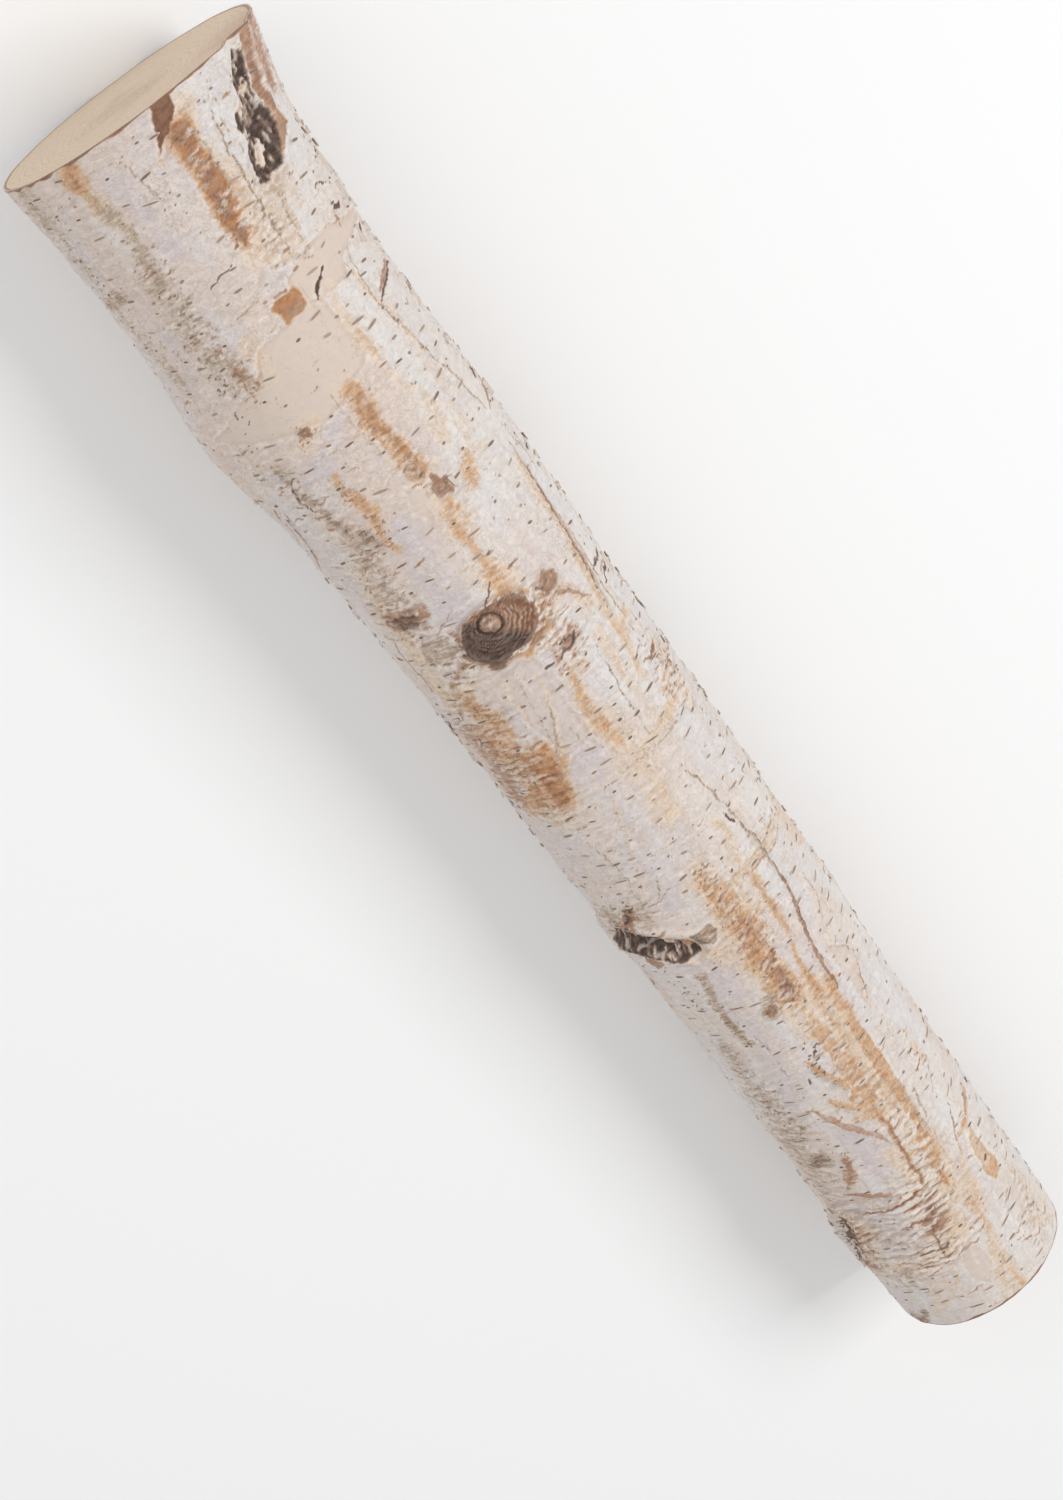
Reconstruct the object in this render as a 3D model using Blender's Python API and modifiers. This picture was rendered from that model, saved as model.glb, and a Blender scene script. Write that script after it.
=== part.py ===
"""A short birch log, sawn square at both ends, made as the one solid it grew as.

Metres, +Z up. The log lies along X with its thick end at +X. Its underside is worn flat in
two places, one near each end, and it rests on them at z = 0.

A place on the bark is given as (along, turn): along is the distance from the thick end, and
turn is the angle in degrees from the top of the log, positive towards +Y.
"""

import math
import random

import bmesh
import bpy
from mathutils import Vector, noise

LENGTH = 0.430
SIDES = 54
RINGS = 46
BARK_THICKNESS = 0.0018

# Radius of the trunk against the distance from the thick end: a flared butt, a swelling
# where branches stood, then an even taper.
GIRTH = (
    (0.000, 0.0380),
    (0.010, 0.0362),
    (0.025, 0.0344),
    (0.050, 0.0328),
    (0.085, 0.0335),
    (0.115, 0.0324),
    (0.155, 0.0314),
    (0.225, 0.0304),
    (0.300, 0.0295),
    (0.360, 0.0288),
    (0.430, 0.0285),
)

# How far the pith wanders towards +Y.
SIDEWAYS = (
    (0.000, -0.0001),
    (0.015, 0.0010),
    (0.050, 0.0024),
    (0.088, 0.0034),
    (0.105, 0.0020),
    (0.130, 0.0008),
    (0.160, -0.0003),
    (0.225, -0.0010),
    (0.300, -0.0011),
    (0.360, -0.0004),
    (0.430, -0.0005),
)

# Height of the pith over the ground. Where it is less than the radius the bark is worn flat.
PITH_HEIGHT = (
    (0.000, 0.0370),
    (0.010, 0.0355),
    (0.025, 0.0337),
    (0.055, 0.0328),
    (0.090, 0.0342),
    (0.150, 0.0326),
    (0.225, 0.0318),
    (0.300, 0.0305),
    (0.360, 0.0288),
    (0.400, 0.0279),
    (0.430, 0.0276),
)

# Slow unevenness of the trunk, and the small one of its bark.
OVALITY = 0.012
OVAL_TURN = 35.0
LOBE_HEIGHT = 0.0009
LOBE_LENGTH = 0.060
BARK_ROUGHNESS = 0.00035
BARK_GRAIN_LENGTH = 0.011

# Swellings round old branches: along, turn, half length, half width, height.
SWELLINGS = (
    (0.082, 84, 0.016, 0.014, 0.0012),
    (0.046, -80, 0.008, 0.010, 0.0014),
    (0.158, 8, 0.019, 0.020, 0.0016),
    (0.013, -46, 0.020, 0.010, 0.0012),
    (0.263, 52, 0.014, 0.018, 0.0014),
    (0.392, 70, 0.012, 0.012, 0.0016),
    (0.205, -140, 0.018, 0.018, 0.0020),
    (0.076, 152, 0.015, 0.015, 0.0014),
    (0.335, 126, 0.014, 0.014, 0.0015),
    (0.292, -108, 0.013, 0.012, 0.0012),
)

# Open scars where a branch tore away: a path on the bark, half width, depth and lip height.
SCARS = (
    (((0.001, -49), (0.012, -45), (0.022, -40), (0.030, -32)), 0.0040, 0.0022, 0.0012),
    (((0.270, 27), (0.265, 42), (0.2605, 58), (0.2605, 73)), 0.0028, 0.0018, 0.0012),
    (((0.384, 64), (0.392, 70), (0.399, 77)), 0.0030, 0.0014, 0.0014),
    (((0.128, -158), (0.131, -142), (0.136, -128)), 0.0030, 0.0018, 0.0012),
    (((0.352, -146), (0.356, -134)), 0.0026, 0.0014, 0.0010),
)

# Knots: along, turn, half length, half width. The first is the large eye with its stub.
EYE_KNOT = (0.1578, 7.5, 0.0080, 0.0106)
EYE_STUB_SHIFT = -0.0022
EYE_STEPS = 20
SMALL_KNOTS = (
    (0.1570, -25, 0.0032, 0.0034),
    (0.1450, 43, 0.0034, 0.0050),
    (0.1185, -13, 0.0032, 0.0030),
    (0.3005, 13, 0.0022, 0.0024),
    (0.3880, -41, 0.0016, 0.0028),
    (0.0760, 152, 0.0050, 0.0062),
    (0.2050, -140, 0.0062, 0.0074),
    (0.3350, 126, 0.0044, 0.0056),
    (0.2920, -108, 0.0036, 0.0044),
)
SMALL_KNOT_STEPS = 10

# Turned profiles of the knots, as shares of the knot's radius and heights in metres.
KNOT_ROOT = -0.0030
EYE_PROFILE = (
    (1.00, 0.0000),
    (0.90, 0.0013),
    (0.78, 0.0005),
    (0.68, 0.0010),
    (0.58, 0.0003),
    (0.48, 0.0009),
    (0.38, 0.0002),
    (0.30, 0.0012),
    (0.16, 0.0019),
)
EYE_TOP = 0.0021
SMALL_KNOT_PROFILE = ((1.00, 0.0000), (0.84, 0.0009), (0.50, 0.0001), (0.36, 0.0007))
SMALL_KNOT_TOP = 0.0009

# Raised lines on the bark: the edges of peeled sheets, long healed scratches, the chevrons
# above a branch and the folds near the thin end. Each is a path and a half thickness.
RIDGES = (
    (((0.0795, -20), (0.0820, -8), (0.0850, 2), (0.0845, 20), (0.0810, 42), (0.0780, 58)), 0.0007),
    (((0.1240, -60), (0.1480, -54), (0.1700, -47), (0.1980, -40)), 0.0007),
    (((0.0570, -42), (0.0700, -46), (0.0880, -51), (0.1120, -62)), 0.0006),
    (((0.0500, -68), (0.0510, -50), (0.0500, -30)), 0.0006),
    (((0.2430, -31), (0.2680, -36), (0.2880, -28), (0.3080, -25)), 0.0006),
    (((0.3190, 16), (0.3300, 9), (0.3400, 0)), 0.0008),
    (((0.3360, 29), (0.3430, 16), (0.3460, 5)), 0.0008),
    (((0.3430, 28), (0.3500, 14), (0.3570, 2)), 0.0008),
    (((0.3750, -18), (0.3765, 5), (0.3740, 28), (0.3700, 42)), 0.0008),
    (((0.3815, 2), (0.3800, 22), (0.3785, 40)), 0.0008),
    (((0.3870, -12), (0.3885, 10), (0.3880, 28)), 0.0008),
    (((0.3950, -8), (0.3960, 14), (0.3940, 36)), 0.0007),
    (((0.1800, 104), (0.1830, 130), (0.1810, 154)), 0.0008),
    (((0.2400, 100), (0.2600, 118), (0.2900, 128)), 0.0007),
    (((0.1000, -95), (0.1300, -104), (0.1650, -100)), 0.0007),
    (((0.3200, -90), (0.3240, -116), (0.3220, -146)), 0.0008),
)

# Loose curls of papery bark: along, turn, heading, width and reach. A heading of 0 points
# to the thin end and 90 the way turn grows.
CURL_THICKNESS = 0.0007
CURL_ROLL = math.radians(65)
CURL_SINK = 0.0008
CURL_CUTS = 4
CURLS = (
    (0.0400, -76, -80, 0.0100, 0.0062),
    (0.0480, -72, -100, 0.0070, 0.0052),
    (0.0590, -66, -95, 0.0090, 0.0050),
    (0.0800, -78, -90, 0.0080, 0.0056),
    (0.1120, -80, -85, 0.0070, 0.0052),
    (0.1700, -76, -90, 0.0100, 0.0058),
    (0.2440, -80, -100, 0.0080, 0.0052),
    (0.1190, -17, 90, 0.0060, 0.0045),
    (0.2250, 112, 85, 0.0120, 0.0068),
    (0.0950, 138, 95, 0.0140, 0.0060),
    (0.3050, -128, -90, 0.0120, 0.0064),
    (0.3650, 104, 85, 0.0100, 0.0060),
)

# Pores: short dark dashes across the grain, all round the log.
PORE_SEED = 7
PORE_ROWS = 18
PORES_A_ROW = 5
PORE_HALF_LENGTH = (0.0022, 0.0045)
PORE_HALF_WIDTH = 0.0006
PORE_HEIGHT = 0.00065
PORE_END_MARGIN = 0.010

# How far a knot or a scar gathers the rings of the mesh.
RING_GATHER = 1.6
RING_GATHER_REACH = 0.012

COLOURS = {
    "white_bark": ((0.72, 0.67, 0.63, 1), 0.72),
    "inner_bark": ((0.55, 0.31, 0.16, 1), 0.80),
    "knot_wood": ((0.12, 0.075, 0.05, 1), 0.85),
    "sawn_wood": ((0.70, 0.53, 0.36, 1), 0.78),
}


def clear_scene():
    for obj in list(bpy.data.objects):
        bpy.data.objects.remove(obj, do_unlink=True)


def new_collection(name):
    made = bpy.data.collections.new(name)
    bpy.context.scene.collection.children.link(made)
    return made


def add_material(name):
    colour, roughness = COLOURS[name]
    made = bpy.data.materials.new(name)
    made.use_nodes = True
    made.diffuse_color = colour
    shader = made.node_tree.nodes["Principled BSDF"]
    shader.inputs["Base Color"].default_value = colour
    shader.inputs["Roughness"].default_value = roughness
    shader.inputs["Metallic"].default_value = 0.0


def curve_through(points, along):
    """The value at along of a smooth curve through (along, value) points."""
    last = len(points) - 1
    along = min(max(along, points[0][0]), points[last][0])
    i = max(k for k in range(last) if points[k][0] <= along)

    def slope(k):
        a, b = points[max(k - 1, 0)], points[min(k + 1, last)]
        return (b[1] - a[1]) / (b[0] - a[0])

    (start, low), (end, high) = points[i], points[i + 1]
    gap = end - start
    t = (along - start) / gap
    return (
        (2 * t**3 - 3 * t**2 + 1) * low
        + (t**3 - 2 * t**2 + t) * gap * slope(i)
        + (3 * t**2 - 2 * t**3) * high
        + (t**3 - t**2) * gap * slope(i + 1)
    )


def turn_between(turn, other):
    """The signed angle in degrees from other to turn, the short way round."""
    return (turn - other + 180) % 360 - 180


def flat_offset(along, turn, place):
    """The offset of (along, turn) from a place on the bark, unrolled flat, in metres."""
    arc = math.radians(turn_between(turn, place[1])) * curve_through(GIRTH, along)
    return Vector((along - place[0], arc))


def distance_to_path(along, turn, path):
    """The distance over the bark from (along, turn) to a path of places."""
    nearest = math.inf
    for start, end in zip(path, path[1:]):
        to_start = flat_offset(along, turn, start)
        leg = flat_offset(end[0], end[1], start)
        share = min(max(to_start.dot(leg) / leg.length_squared, 0), 1)
        nearest = min(nearest, (to_start - leg * share).length)
    return nearest


def swelling_height(along, turn):
    height = 0.0
    for place_along, place_turn, half_length, half_width, top in SWELLINGS:
        offset = flat_offset(along, turn, (place_along, place_turn))
        height += top * math.exp(-((offset.x / half_length) ** 2) - (offset.y / half_width) ** 2)
    return height


def scar_height(along, turn):
    """Below zero in the torn groove of a scar, above it on the lips that healed round it."""
    height = 0.0
    for path, half_width, depth, lip in SCARS:
        share = distance_to_path(along, turn, path) / half_width
        height += lip * math.exp(-(((share - 1.7) / 0.6) ** 2)) - depth * math.exp(-(share**2))
    return height


def unevenness(along, turn):
    angle = math.radians(turn)
    around = Vector((math.cos(angle), math.sin(angle), 0)) * curve_through(GIRTH, along)
    place = around + Vector((0, 0, along))
    lobes = noise.noise(place / LOBE_LENGTH) * LOBE_HEIGHT
    grain = noise.noise(place / BARK_GRAIN_LENGTH) * BARK_ROUGHNESS
    oval = OVALITY * math.cos(2 * (angle - math.radians(OVAL_TURN)))
    return lobes + grain + oval * curve_through(GIRTH, along)


def on_bark(along, turn, lift=0.0):
    """The point of the bark at (along, turn), lifted straight out from the pith."""
    angle = math.radians(turn)
    radius = curve_through(GIRTH, along) + swelling_height(along, turn)
    radius += scar_height(along, turn) + unevenness(along, turn) + lift
    y = curve_through(SIDEWAYS, along) + radius * math.sin(angle)
    z = curve_through(PITH_HEIGHT, along) + radius * math.cos(angle)
    return Vector((LENGTH / 2 - along, y, max(z, 0.0)))


def bark_axes(along, turn):
    """Unit vectors at a place on the bark: to the thick end, the way turn grows, and out."""
    angle = math.radians(turn)
    across = Vector((0, math.cos(angle), -math.sin(angle)))
    out = Vector((0, math.sin(angle), math.cos(angle)))
    return Vector((1, 0, 0)), across, out


def ring_places():
    """Distances from the thick end of the mesh's rings, closer together at knots and scars."""
    hubs = [EYE_KNOT[0]] + [place[0] for path, *_ in SCARS for place in (path[0], path[-1])]
    steps = 600
    density = []
    for i in range(steps + 1):
        along = LENGTH * i / steps
        near = sum(math.exp(-(((along - hub) / RING_GATHER_REACH) ** 2)) for hub in hubs)
        density.append(1 + RING_GATHER * min(near, 1))
    total = sum(density[:-1])
    places, reached, wanted = [], 0.0, 0
    for i in range(steps):
        while wanted < RINGS and reached >= total * wanted / RINGS:
            places.append(LENGTH * i / steps)
            wanted += 1
        reached += density[i]
    return places + [LENGTH]


def make_trunk(collection):
    """A capped cylinder, cut into rings, with every point then set on the bark."""
    places = ring_places()
    mesh = bpy.data.meshes.new("birch_log")
    bm = bmesh.new()
    bmesh.ops.create_cone(bm, cap_ends=True, segments=SIDES, radius1=1, radius2=1, depth=RINGS)
    uprights = [e for e in bm.edges if abs(e.verts[0].co.z - e.verts[1].co.z) > 0.5]
    bmesh.ops.subdivide_edges(bm, edges=uprights, cuts=RINGS - 1)
    for vert in bm.verts:
        ring = round(vert.co.z + RINGS / 2)
        turn = math.degrees(math.atan2(vert.co.y, vert.co.x))
        vert.co = on_bark(places[ring], turn)
    bm.normal_update()
    caps = [face for face in bm.faces if len(face.verts) > 4]
    bmesh.ops.inset_individual(bm, faces=caps, thickness=BARK_THICKNESS, use_even_offset=True)
    bm.to_mesh(mesh)
    bm.free()
    trunk = bpy.data.objects.new("birch_log", mesh)
    collection.objects.link(trunk)
    return trunk


def add_mesh(bm, name, collection):
    """Ends a bmesh as an object."""
    mesh = bpy.data.meshes.new(name)
    bm.to_mesh(mesh)
    bm.free()
    obj = bpy.data.objects.new(name, mesh)
    collection.objects.link(obj)
    return obj


def applied(obj):
    """Gives an object the mesh that its modifiers make, and clears them."""
    graph = bpy.context.evaluated_depsgraph_get()
    made = bpy.data.meshes.new_from_object(obj.evaluated_get(graph))
    obj.modifiers.clear()
    obj.data = made
    return obj


def make_knot(name, place, profile, top, steps, stub_shift, collection):
    """A turned knot, its rings drawn towards the stub, set on the bark as an oval."""
    along, turn, half_length, half_width = place
    bm = bmesh.new()
    heights = [(0.0, KNOT_ROOT), (1.0, KNOT_ROOT), *profile, (0.0, top)]
    verts = [bm.verts.new((share, 0, height)) for share, height in heights]
    for first, second in zip(verts, verts[1:]):
        bm.edges.new((first, second))
    mesh = bpy.data.meshes.new(name)
    bm.to_mesh(mesh)
    bm.free()
    knot = bpy.data.objects.new(name, mesh)
    collection.objects.link(knot)
    turned = knot.modifiers.new("Turned", "SCREW")
    turned.steps = steps
    turned.render_steps = steps
    turned.use_merge_vertices = True
    turned.merge_threshold = 0.0001
    applied(knot)
    for vert in knot.data.vertices:
        share = math.hypot(vert.co.x, vert.co.y)
        slide = vert.co.x * half_length + stub_shift * (1 - share)
        swing = math.degrees(vert.co.y * half_width / curve_through(GIRTH, along))
        vert.co = on_bark(along + slide, turn + swing, vert.co.z)
    bm = bmesh.new()
    bm.from_mesh(knot.data)
    bmesh.ops.recalc_face_normals(bm, faces=bm.faces)
    bm.to_mesh(knot.data)
    bm.free()
    return knot


def make_ridge(name, path, half_thickness, collection):
    """A tapered line along the bark, half sunk in it."""
    curve = bpy.data.curves.new(name, "CURVE")
    curve.dimensions = "3D"
    curve.bevel_depth = half_thickness
    curve.bevel_resolution = 0
    curve.use_fill_caps = True
    cuts = 2
    places = []
    for start, end in zip(path, path[1:]):
        for i in range(cuts):
            share = i / cuts
            places.append(tuple(a + (b - a) * share for a, b in zip(start, end)))
    places.append(path[-1])
    spline = curve.splines.new("POLY")
    spline.points.add(len(places) - 1)
    for i, (point, (along, turn)) in enumerate(zip(spline.points, places)):
        point.co = (*on_bark(along, turn), 1)
        point.radius = 0.35 + 0.65 * math.sin(math.pi * i / (len(places) - 1))
    drawn = bpy.data.objects.new(name, curve)
    collection.objects.link(drawn)
    graph = bpy.context.evaluated_depsgraph_get()
    bm = bmesh.new()
    bm.from_mesh(bpy.data.meshes.new_from_object(drawn.evaluated_get(graph)))
    bmesh.ops.remove_doubles(bm, verts=bm.verts, dist=0.00001)
    bmesh.ops.recalc_face_normals(bm, faces=bm.faces)
    bpy.data.objects.remove(drawn)
    return add_mesh(bm, name, collection)


def make_curl(name, along, turn, heading, width, reach, collection):
    """A strip of bark that leaves the surface and rolls away from it, with a pointed tip."""
    thickward, across, out = bark_axes(along, turn)
    way = math.radians(heading)
    forward = across * math.sin(way) - thickward * math.cos(way)
    side = across * math.cos(way) + thickward * math.sin(way)
    root = on_bark(along, turn) - out * CURL_SINK - forward * CURL_SINK
    bm = bmesh.new()
    bmesh.ops.create_grid(bm, x_segments=CURL_CUTS, y_segments=2, size=0.5)
    roll_radius = reach / CURL_ROLL
    for vert in bm.verts:
        share, sideways = vert.co.x + 0.5, vert.co.y
        swept = share * CURL_ROLL
        narrowing = 1 - 0.55 * share**2
        rise = roll_radius * (1 - math.cos(swept))
        vert.co = (
            root
            + forward * roll_radius * math.sin(swept)
            + out * rise
            + side * sideways * width * narrowing
        )
    curl = add_mesh(bm, name, collection)
    thick = curl.modifiers.new("Thickness", "SOLIDIFY")
    thick.thickness = CURL_THICKNESS
    thick.offset = 0
    return applied(curl)


def make_pore(name, along, turn, half_length, collection):
    """A dash of corky bark, eight faces, half sunk."""
    bm = bmesh.new()
    bmesh.ops.create_uvsphere(bm, u_segments=4, v_segments=2, radius=1)
    thickward, across, out = bark_axes(along, turn)
    seat = on_bark(along, turn)
    for vert in bm.verts:
        vert.co = (
            seat
            + thickward * vert.co.x * PORE_HALF_WIDTH
            + across * vert.co.y * half_length
            + out * vert.co.z * PORE_HEIGHT
        )
    return add_mesh(bm, name, collection)


def pore_places():
    """Pores in loose rows round the log, kept off the ground, the knots and the scars."""
    draw = random.Random(PORE_SEED)
    for row in range(PORE_ROWS):
        for column in range(PORES_A_ROW):
            along = PORE_END_MARGIN + (LENGTH - 2 * PORE_END_MARGIN) * (row + draw.random()) / PORE_ROWS
            turn = 360 * (column + draw.random()) / PORES_A_ROW
            half_length = draw.uniform(*PORE_HALF_LENGTH)
            if on_bark(along, turn).z < 0.004:
                continue
            knots = (EYE_KNOT, *SMALL_KNOTS)
            if any(flat_offset(along, turn, knot).length < knot[3] + half_length for knot in knots):
                continue
            if any(distance_to_path(along, turn, scar[0]) < 2 * scar[1] for scar in SCARS):
                continue
            yield along, turn, half_length


def fuse(trunk, pieces):
    """Joins the trunk and everything that grew from it in one solid."""
    join = trunk.modifiers.new("Grown together", "BOOLEAN")
    join.operation = "UNION"
    join.operand_type = "COLLECTION"
    join.collection = pieces
    join.solver = "MANIFOLD"
    applied(trunk)
    for obj in list(pieces.objects):
        bpy.data.objects.remove(obj, do_unlink=True)
    bpy.data.collections.remove(pieces)


def paint(obj, name):
    """Gives every face of an object one of the log's materials."""
    obj.data.materials.clear()
    for colour in COLOURS:
        obj.data.materials.append(bpy.data.materials[colour])
    for face in obj.data.polygons:
        face.material_index = list(COLOURS).index(name)


def paint_trunk(trunk):
    """Bark on the side with bare wood in the scars, and sawn wood in a rim of bark at the ends."""
    paint(trunk, "white_bark")
    order = list(COLOURS)
    for face in trunk.data.polygons:
        along = LENGTH / 2 - face.center.x
        pith_y, pith_z = curve_through(SIDEWAYS, along), curve_through(PITH_HEIGHT, along)
        turn = math.degrees(math.atan2(face.center.y - pith_y, face.center.z - pith_z))
        if min(along, LENGTH - along) < 0.00001:
            face.material_index = order.index("inner_bark" if len(face.vertices) < 5 else "sawn_wood")
        elif any(distance_to_path(along, turn, scar[0]) < 1.2 * scar[1] for scar in SCARS):
            face.material_index = order.index("knot_wood")


def main():
    clear_scene()
    for name in COLOURS:
        add_material(name)
    log = new_collection("birch log")
    grown = new_collection("grown from the trunk")
    trunk = make_trunk(log)
    paint_trunk(trunk)
    eye = make_knot("eye_knot", EYE_KNOT, EYE_PROFILE, EYE_TOP, EYE_STEPS, EYE_STUB_SHIFT, grown)
    paint(eye, "knot_wood")
    for i, place in enumerate(SMALL_KNOTS):
        name = f"knot_{i}"
        knot = make_knot(name, place, SMALL_KNOT_PROFILE, SMALL_KNOT_TOP, SMALL_KNOT_STEPS, 0.0, grown)
        paint(knot, "knot_wood")
    for i, (path, half_thickness) in enumerate(RIDGES):
        paint(make_ridge(f"ridge_{i}", path, half_thickness, grown), "inner_bark")
    for i, place in enumerate(CURLS):
        paint(make_curl(f"curl_{i}", *place, grown), "inner_bark")
    for i, place in enumerate(pore_places()):
        paint(make_pore(f"pore_{i}", *place, grown), "knot_wood")
    fuse(trunk, grown)


main()
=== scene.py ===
"""The birch log's looks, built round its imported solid.

Places on the bark are (along, turn): along in millimetres from the thick end, turn in degrees
from the top of the log, positive towards +Y.
"""

import math
import random

import bpy
import numpy as np
from mathutils import Matrix, Vector, noise


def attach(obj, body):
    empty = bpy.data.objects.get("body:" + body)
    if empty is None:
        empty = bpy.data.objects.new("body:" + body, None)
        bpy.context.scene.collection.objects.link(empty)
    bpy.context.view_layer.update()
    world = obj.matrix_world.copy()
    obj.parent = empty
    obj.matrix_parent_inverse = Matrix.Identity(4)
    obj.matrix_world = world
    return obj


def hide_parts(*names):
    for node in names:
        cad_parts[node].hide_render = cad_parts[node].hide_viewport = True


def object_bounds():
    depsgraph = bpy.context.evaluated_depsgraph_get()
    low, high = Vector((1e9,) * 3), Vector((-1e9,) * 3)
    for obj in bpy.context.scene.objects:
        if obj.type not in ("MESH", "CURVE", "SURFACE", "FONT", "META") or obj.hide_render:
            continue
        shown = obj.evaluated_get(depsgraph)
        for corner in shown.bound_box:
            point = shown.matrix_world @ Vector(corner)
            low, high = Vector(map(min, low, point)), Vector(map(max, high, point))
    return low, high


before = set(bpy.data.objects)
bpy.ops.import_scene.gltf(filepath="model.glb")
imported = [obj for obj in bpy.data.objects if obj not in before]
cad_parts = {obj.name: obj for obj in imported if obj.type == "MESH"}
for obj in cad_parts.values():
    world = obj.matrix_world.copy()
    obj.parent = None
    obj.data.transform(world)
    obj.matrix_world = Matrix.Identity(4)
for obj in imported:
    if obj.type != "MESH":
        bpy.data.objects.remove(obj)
cad_low, cad_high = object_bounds()


# The trunk's skin: one closed sheet of birch bark grown on the wood, white and papery, with
# everything that scars it. It is the log's own formula on a grid of half a millimetre, in
# three lengths that meet edge to edge, and it stands for the whole solid.
LENGTH = 430.0
GIRTH = (
    (0, 38.0), (10, 36.2), (25, 34.4), (50, 32.8), (85, 33.5), (115, 32.4),
    (155, 31.4), (225, 30.4), (300, 29.5), (360, 28.8), (430, 28.5),
)
SIDEWAYS = (
    (0, -0.1), (15, 1.0), (50, 2.4), (88, 3.4), (105, 2.0), (130, 0.8),
    (160, -0.3), (225, -1.0), (300, -1.1), (360, -0.4), (430, -0.5),
)
PITH_HEIGHT = (
    (0, 37.0), (10, 35.5), (25, 33.7), (55, 32.8), (90, 34.2), (150, 32.6),
    (225, 31.8), (300, 30.5), (360, 28.8), (400, 27.9), (430, 27.6),
)
SWELLINGS = (
    (82, 84, 16, 14, 1.2), (46, -80, 8, 10, 1.4), (158, 8, 19, 20, 1.6), (13, -46, 20, 10, 1.2),
    (263, 52, 14, 18, 1.4), (392, 70, 12, 12, 1.6), (205, -140, 18, 18, 2.0),
    (76, 152, 15, 15, 1.4), (335, 126, 14, 14, 1.5), (292, -108, 13, 12, 1.2),
)
SCARS = (
    (((1, -49), (12, -45), (22, -40), (30, -32)), 4.0, 2.2, 1.2),
    (((270, 27), (265, 42), (260.5, 58), (260.5, 73)), 2.8, 1.8, 1.2),
    (((384, 64), (392, 70), (399, 77)), 3.0, 1.4, 1.4),
    (((128, -158), (131, -142), (136, -128)), 3.0, 1.8, 1.2),
    (((352, -146), (356, -134)), 2.6, 1.4, 1.0),
)


def curve_at(points, along):
    """The smooth curve through (along, value) points, at every entry of along."""
    x, y = np.array(points, float).T
    slope = np.empty(len(x))
    slope[1:-1] = (y[2:] - y[:-2]) / (x[2:] - x[:-2])
    slope[0] = (y[1] - y[0]) / (x[1] - x[0])
    slope[-1] = (y[-1] - y[-2]) / (x[-1] - x[-2])
    i = np.clip(np.searchsorted(x, along, side="right") - 1, 0, len(x) - 2)
    gap = x[i + 1] - x[i]
    t = (along - x[i]) / gap
    return (
        (2 * t**3 - 3 * t**2 + 1) * y[i]
        + (t**3 - 2 * t**2 + t) * gap * slope[i]
        + (3 * t**2 - 2 * t**3) * y[i + 1]
        + (t**3 - t**2) * gap * slope[i + 1]
    )


def ramp(value, low, high):
    """0 at low, 1 at high, smooth between."""
    t = np.clip((value - low) / (high - low), 0, 1)
    return t * t * (3 - 2 * t)


ROWS, SEGMENTS = 957, 3
TOP_COLUMNS, UNDER_COLUMNS = 223, 74
MEAN_GIRTH = 32
end_rows = np.array([0, 0.12, 0.25, 0.4, 0.57, 0.76, 0.98, 1.24, 1.54, 1.9, 2.3])
# Rows crowd together at the sawn edges and are evenly spaced between them.
EVEN_FROM = 2.7
even_rows = np.linspace(EVEN_FROM, LENGTH - EVEN_FROM, ROWS - 2 * len(end_rows))
along_rows = np.concatenate([end_rows, even_rows, LENGTH - end_rows[::-1]])
turn_columns = np.concatenate(
    [np.linspace(-100, 100, TOP_COLUMNS)[:-1], np.linspace(100, 260, UNDER_COLUMNS)[:-1]]
)
girth_rows = curve_at(GIRTH, along_rows)
S, T = np.meshgrid(along_rows, turn_columns, indexing="ij")
GRID_GIRTH = np.repeat(girth_rows[:, None], len(turn_columns), axis=1)


def noise_field(around, along, seed=0.0, octaves=1, bend=0.0):
    """Noise on the unrolled bark, with lumps of that size in millimetres round and along it."""
    angle, size = np.radians(T), GRID_GIRTH / around
    points = np.stack([size * np.cos(angle), size * np.sin(angle), (S + bend) / along + seed], -1)
    points = points.reshape(-1, 3).tolist()
    if octaves == 1:
        values = [noise.noise(p) for p in points]
    else:
        values = [noise.fractal(p, 1.0, 2.0, octaves) for p in points]
    return np.array(values).reshape(S.shape)


# Edges of marks wander, so marks are looked up at slightly shifted places.
shift_s = 0.9 * noise_field(4.0, 4.0, 11.3) + 0.45 * noise_field(1.3, 1.3, 5.1)
shift_a = 0.9 * noise_field(4.0, 4.0, 27.9) + 0.45 * noise_field(1.3, 1.3, 8.7)
S_SHIFTED = S + shift_s - 1.5 * (1 - ramp(S, 70, 125)) - 1.4 * ramp(S, 325, 395)
T_SHIFTED = T + np.degrees(shift_a / GRID_GIRTH)
drift = 2.6 * noise_field(9, 13, 41.0)
T_DRIFTED = T_SHIFTED + np.degrees(drift / GRID_GIRTH)
patchy = noise_field(2.2, 13, 51.0, 2)
swell = noise_field(12, 10, 57.0)


MOST_SHIFT = 3


def rows_near(path, reach):
    """The rows that a mark on a path can touch, with the shift of its edges."""
    reach += MOST_SHIFT
    low, high = min(p[0] for p in path) - reach, max(p[0] for p in path) + reach
    return slice(*np.searchsorted(along_rows, (low, high)))


def arc_from(turn, place_turn, girth):
    return np.radians((turn - place_turn + 180) % 360 - 180) * girth


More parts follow.
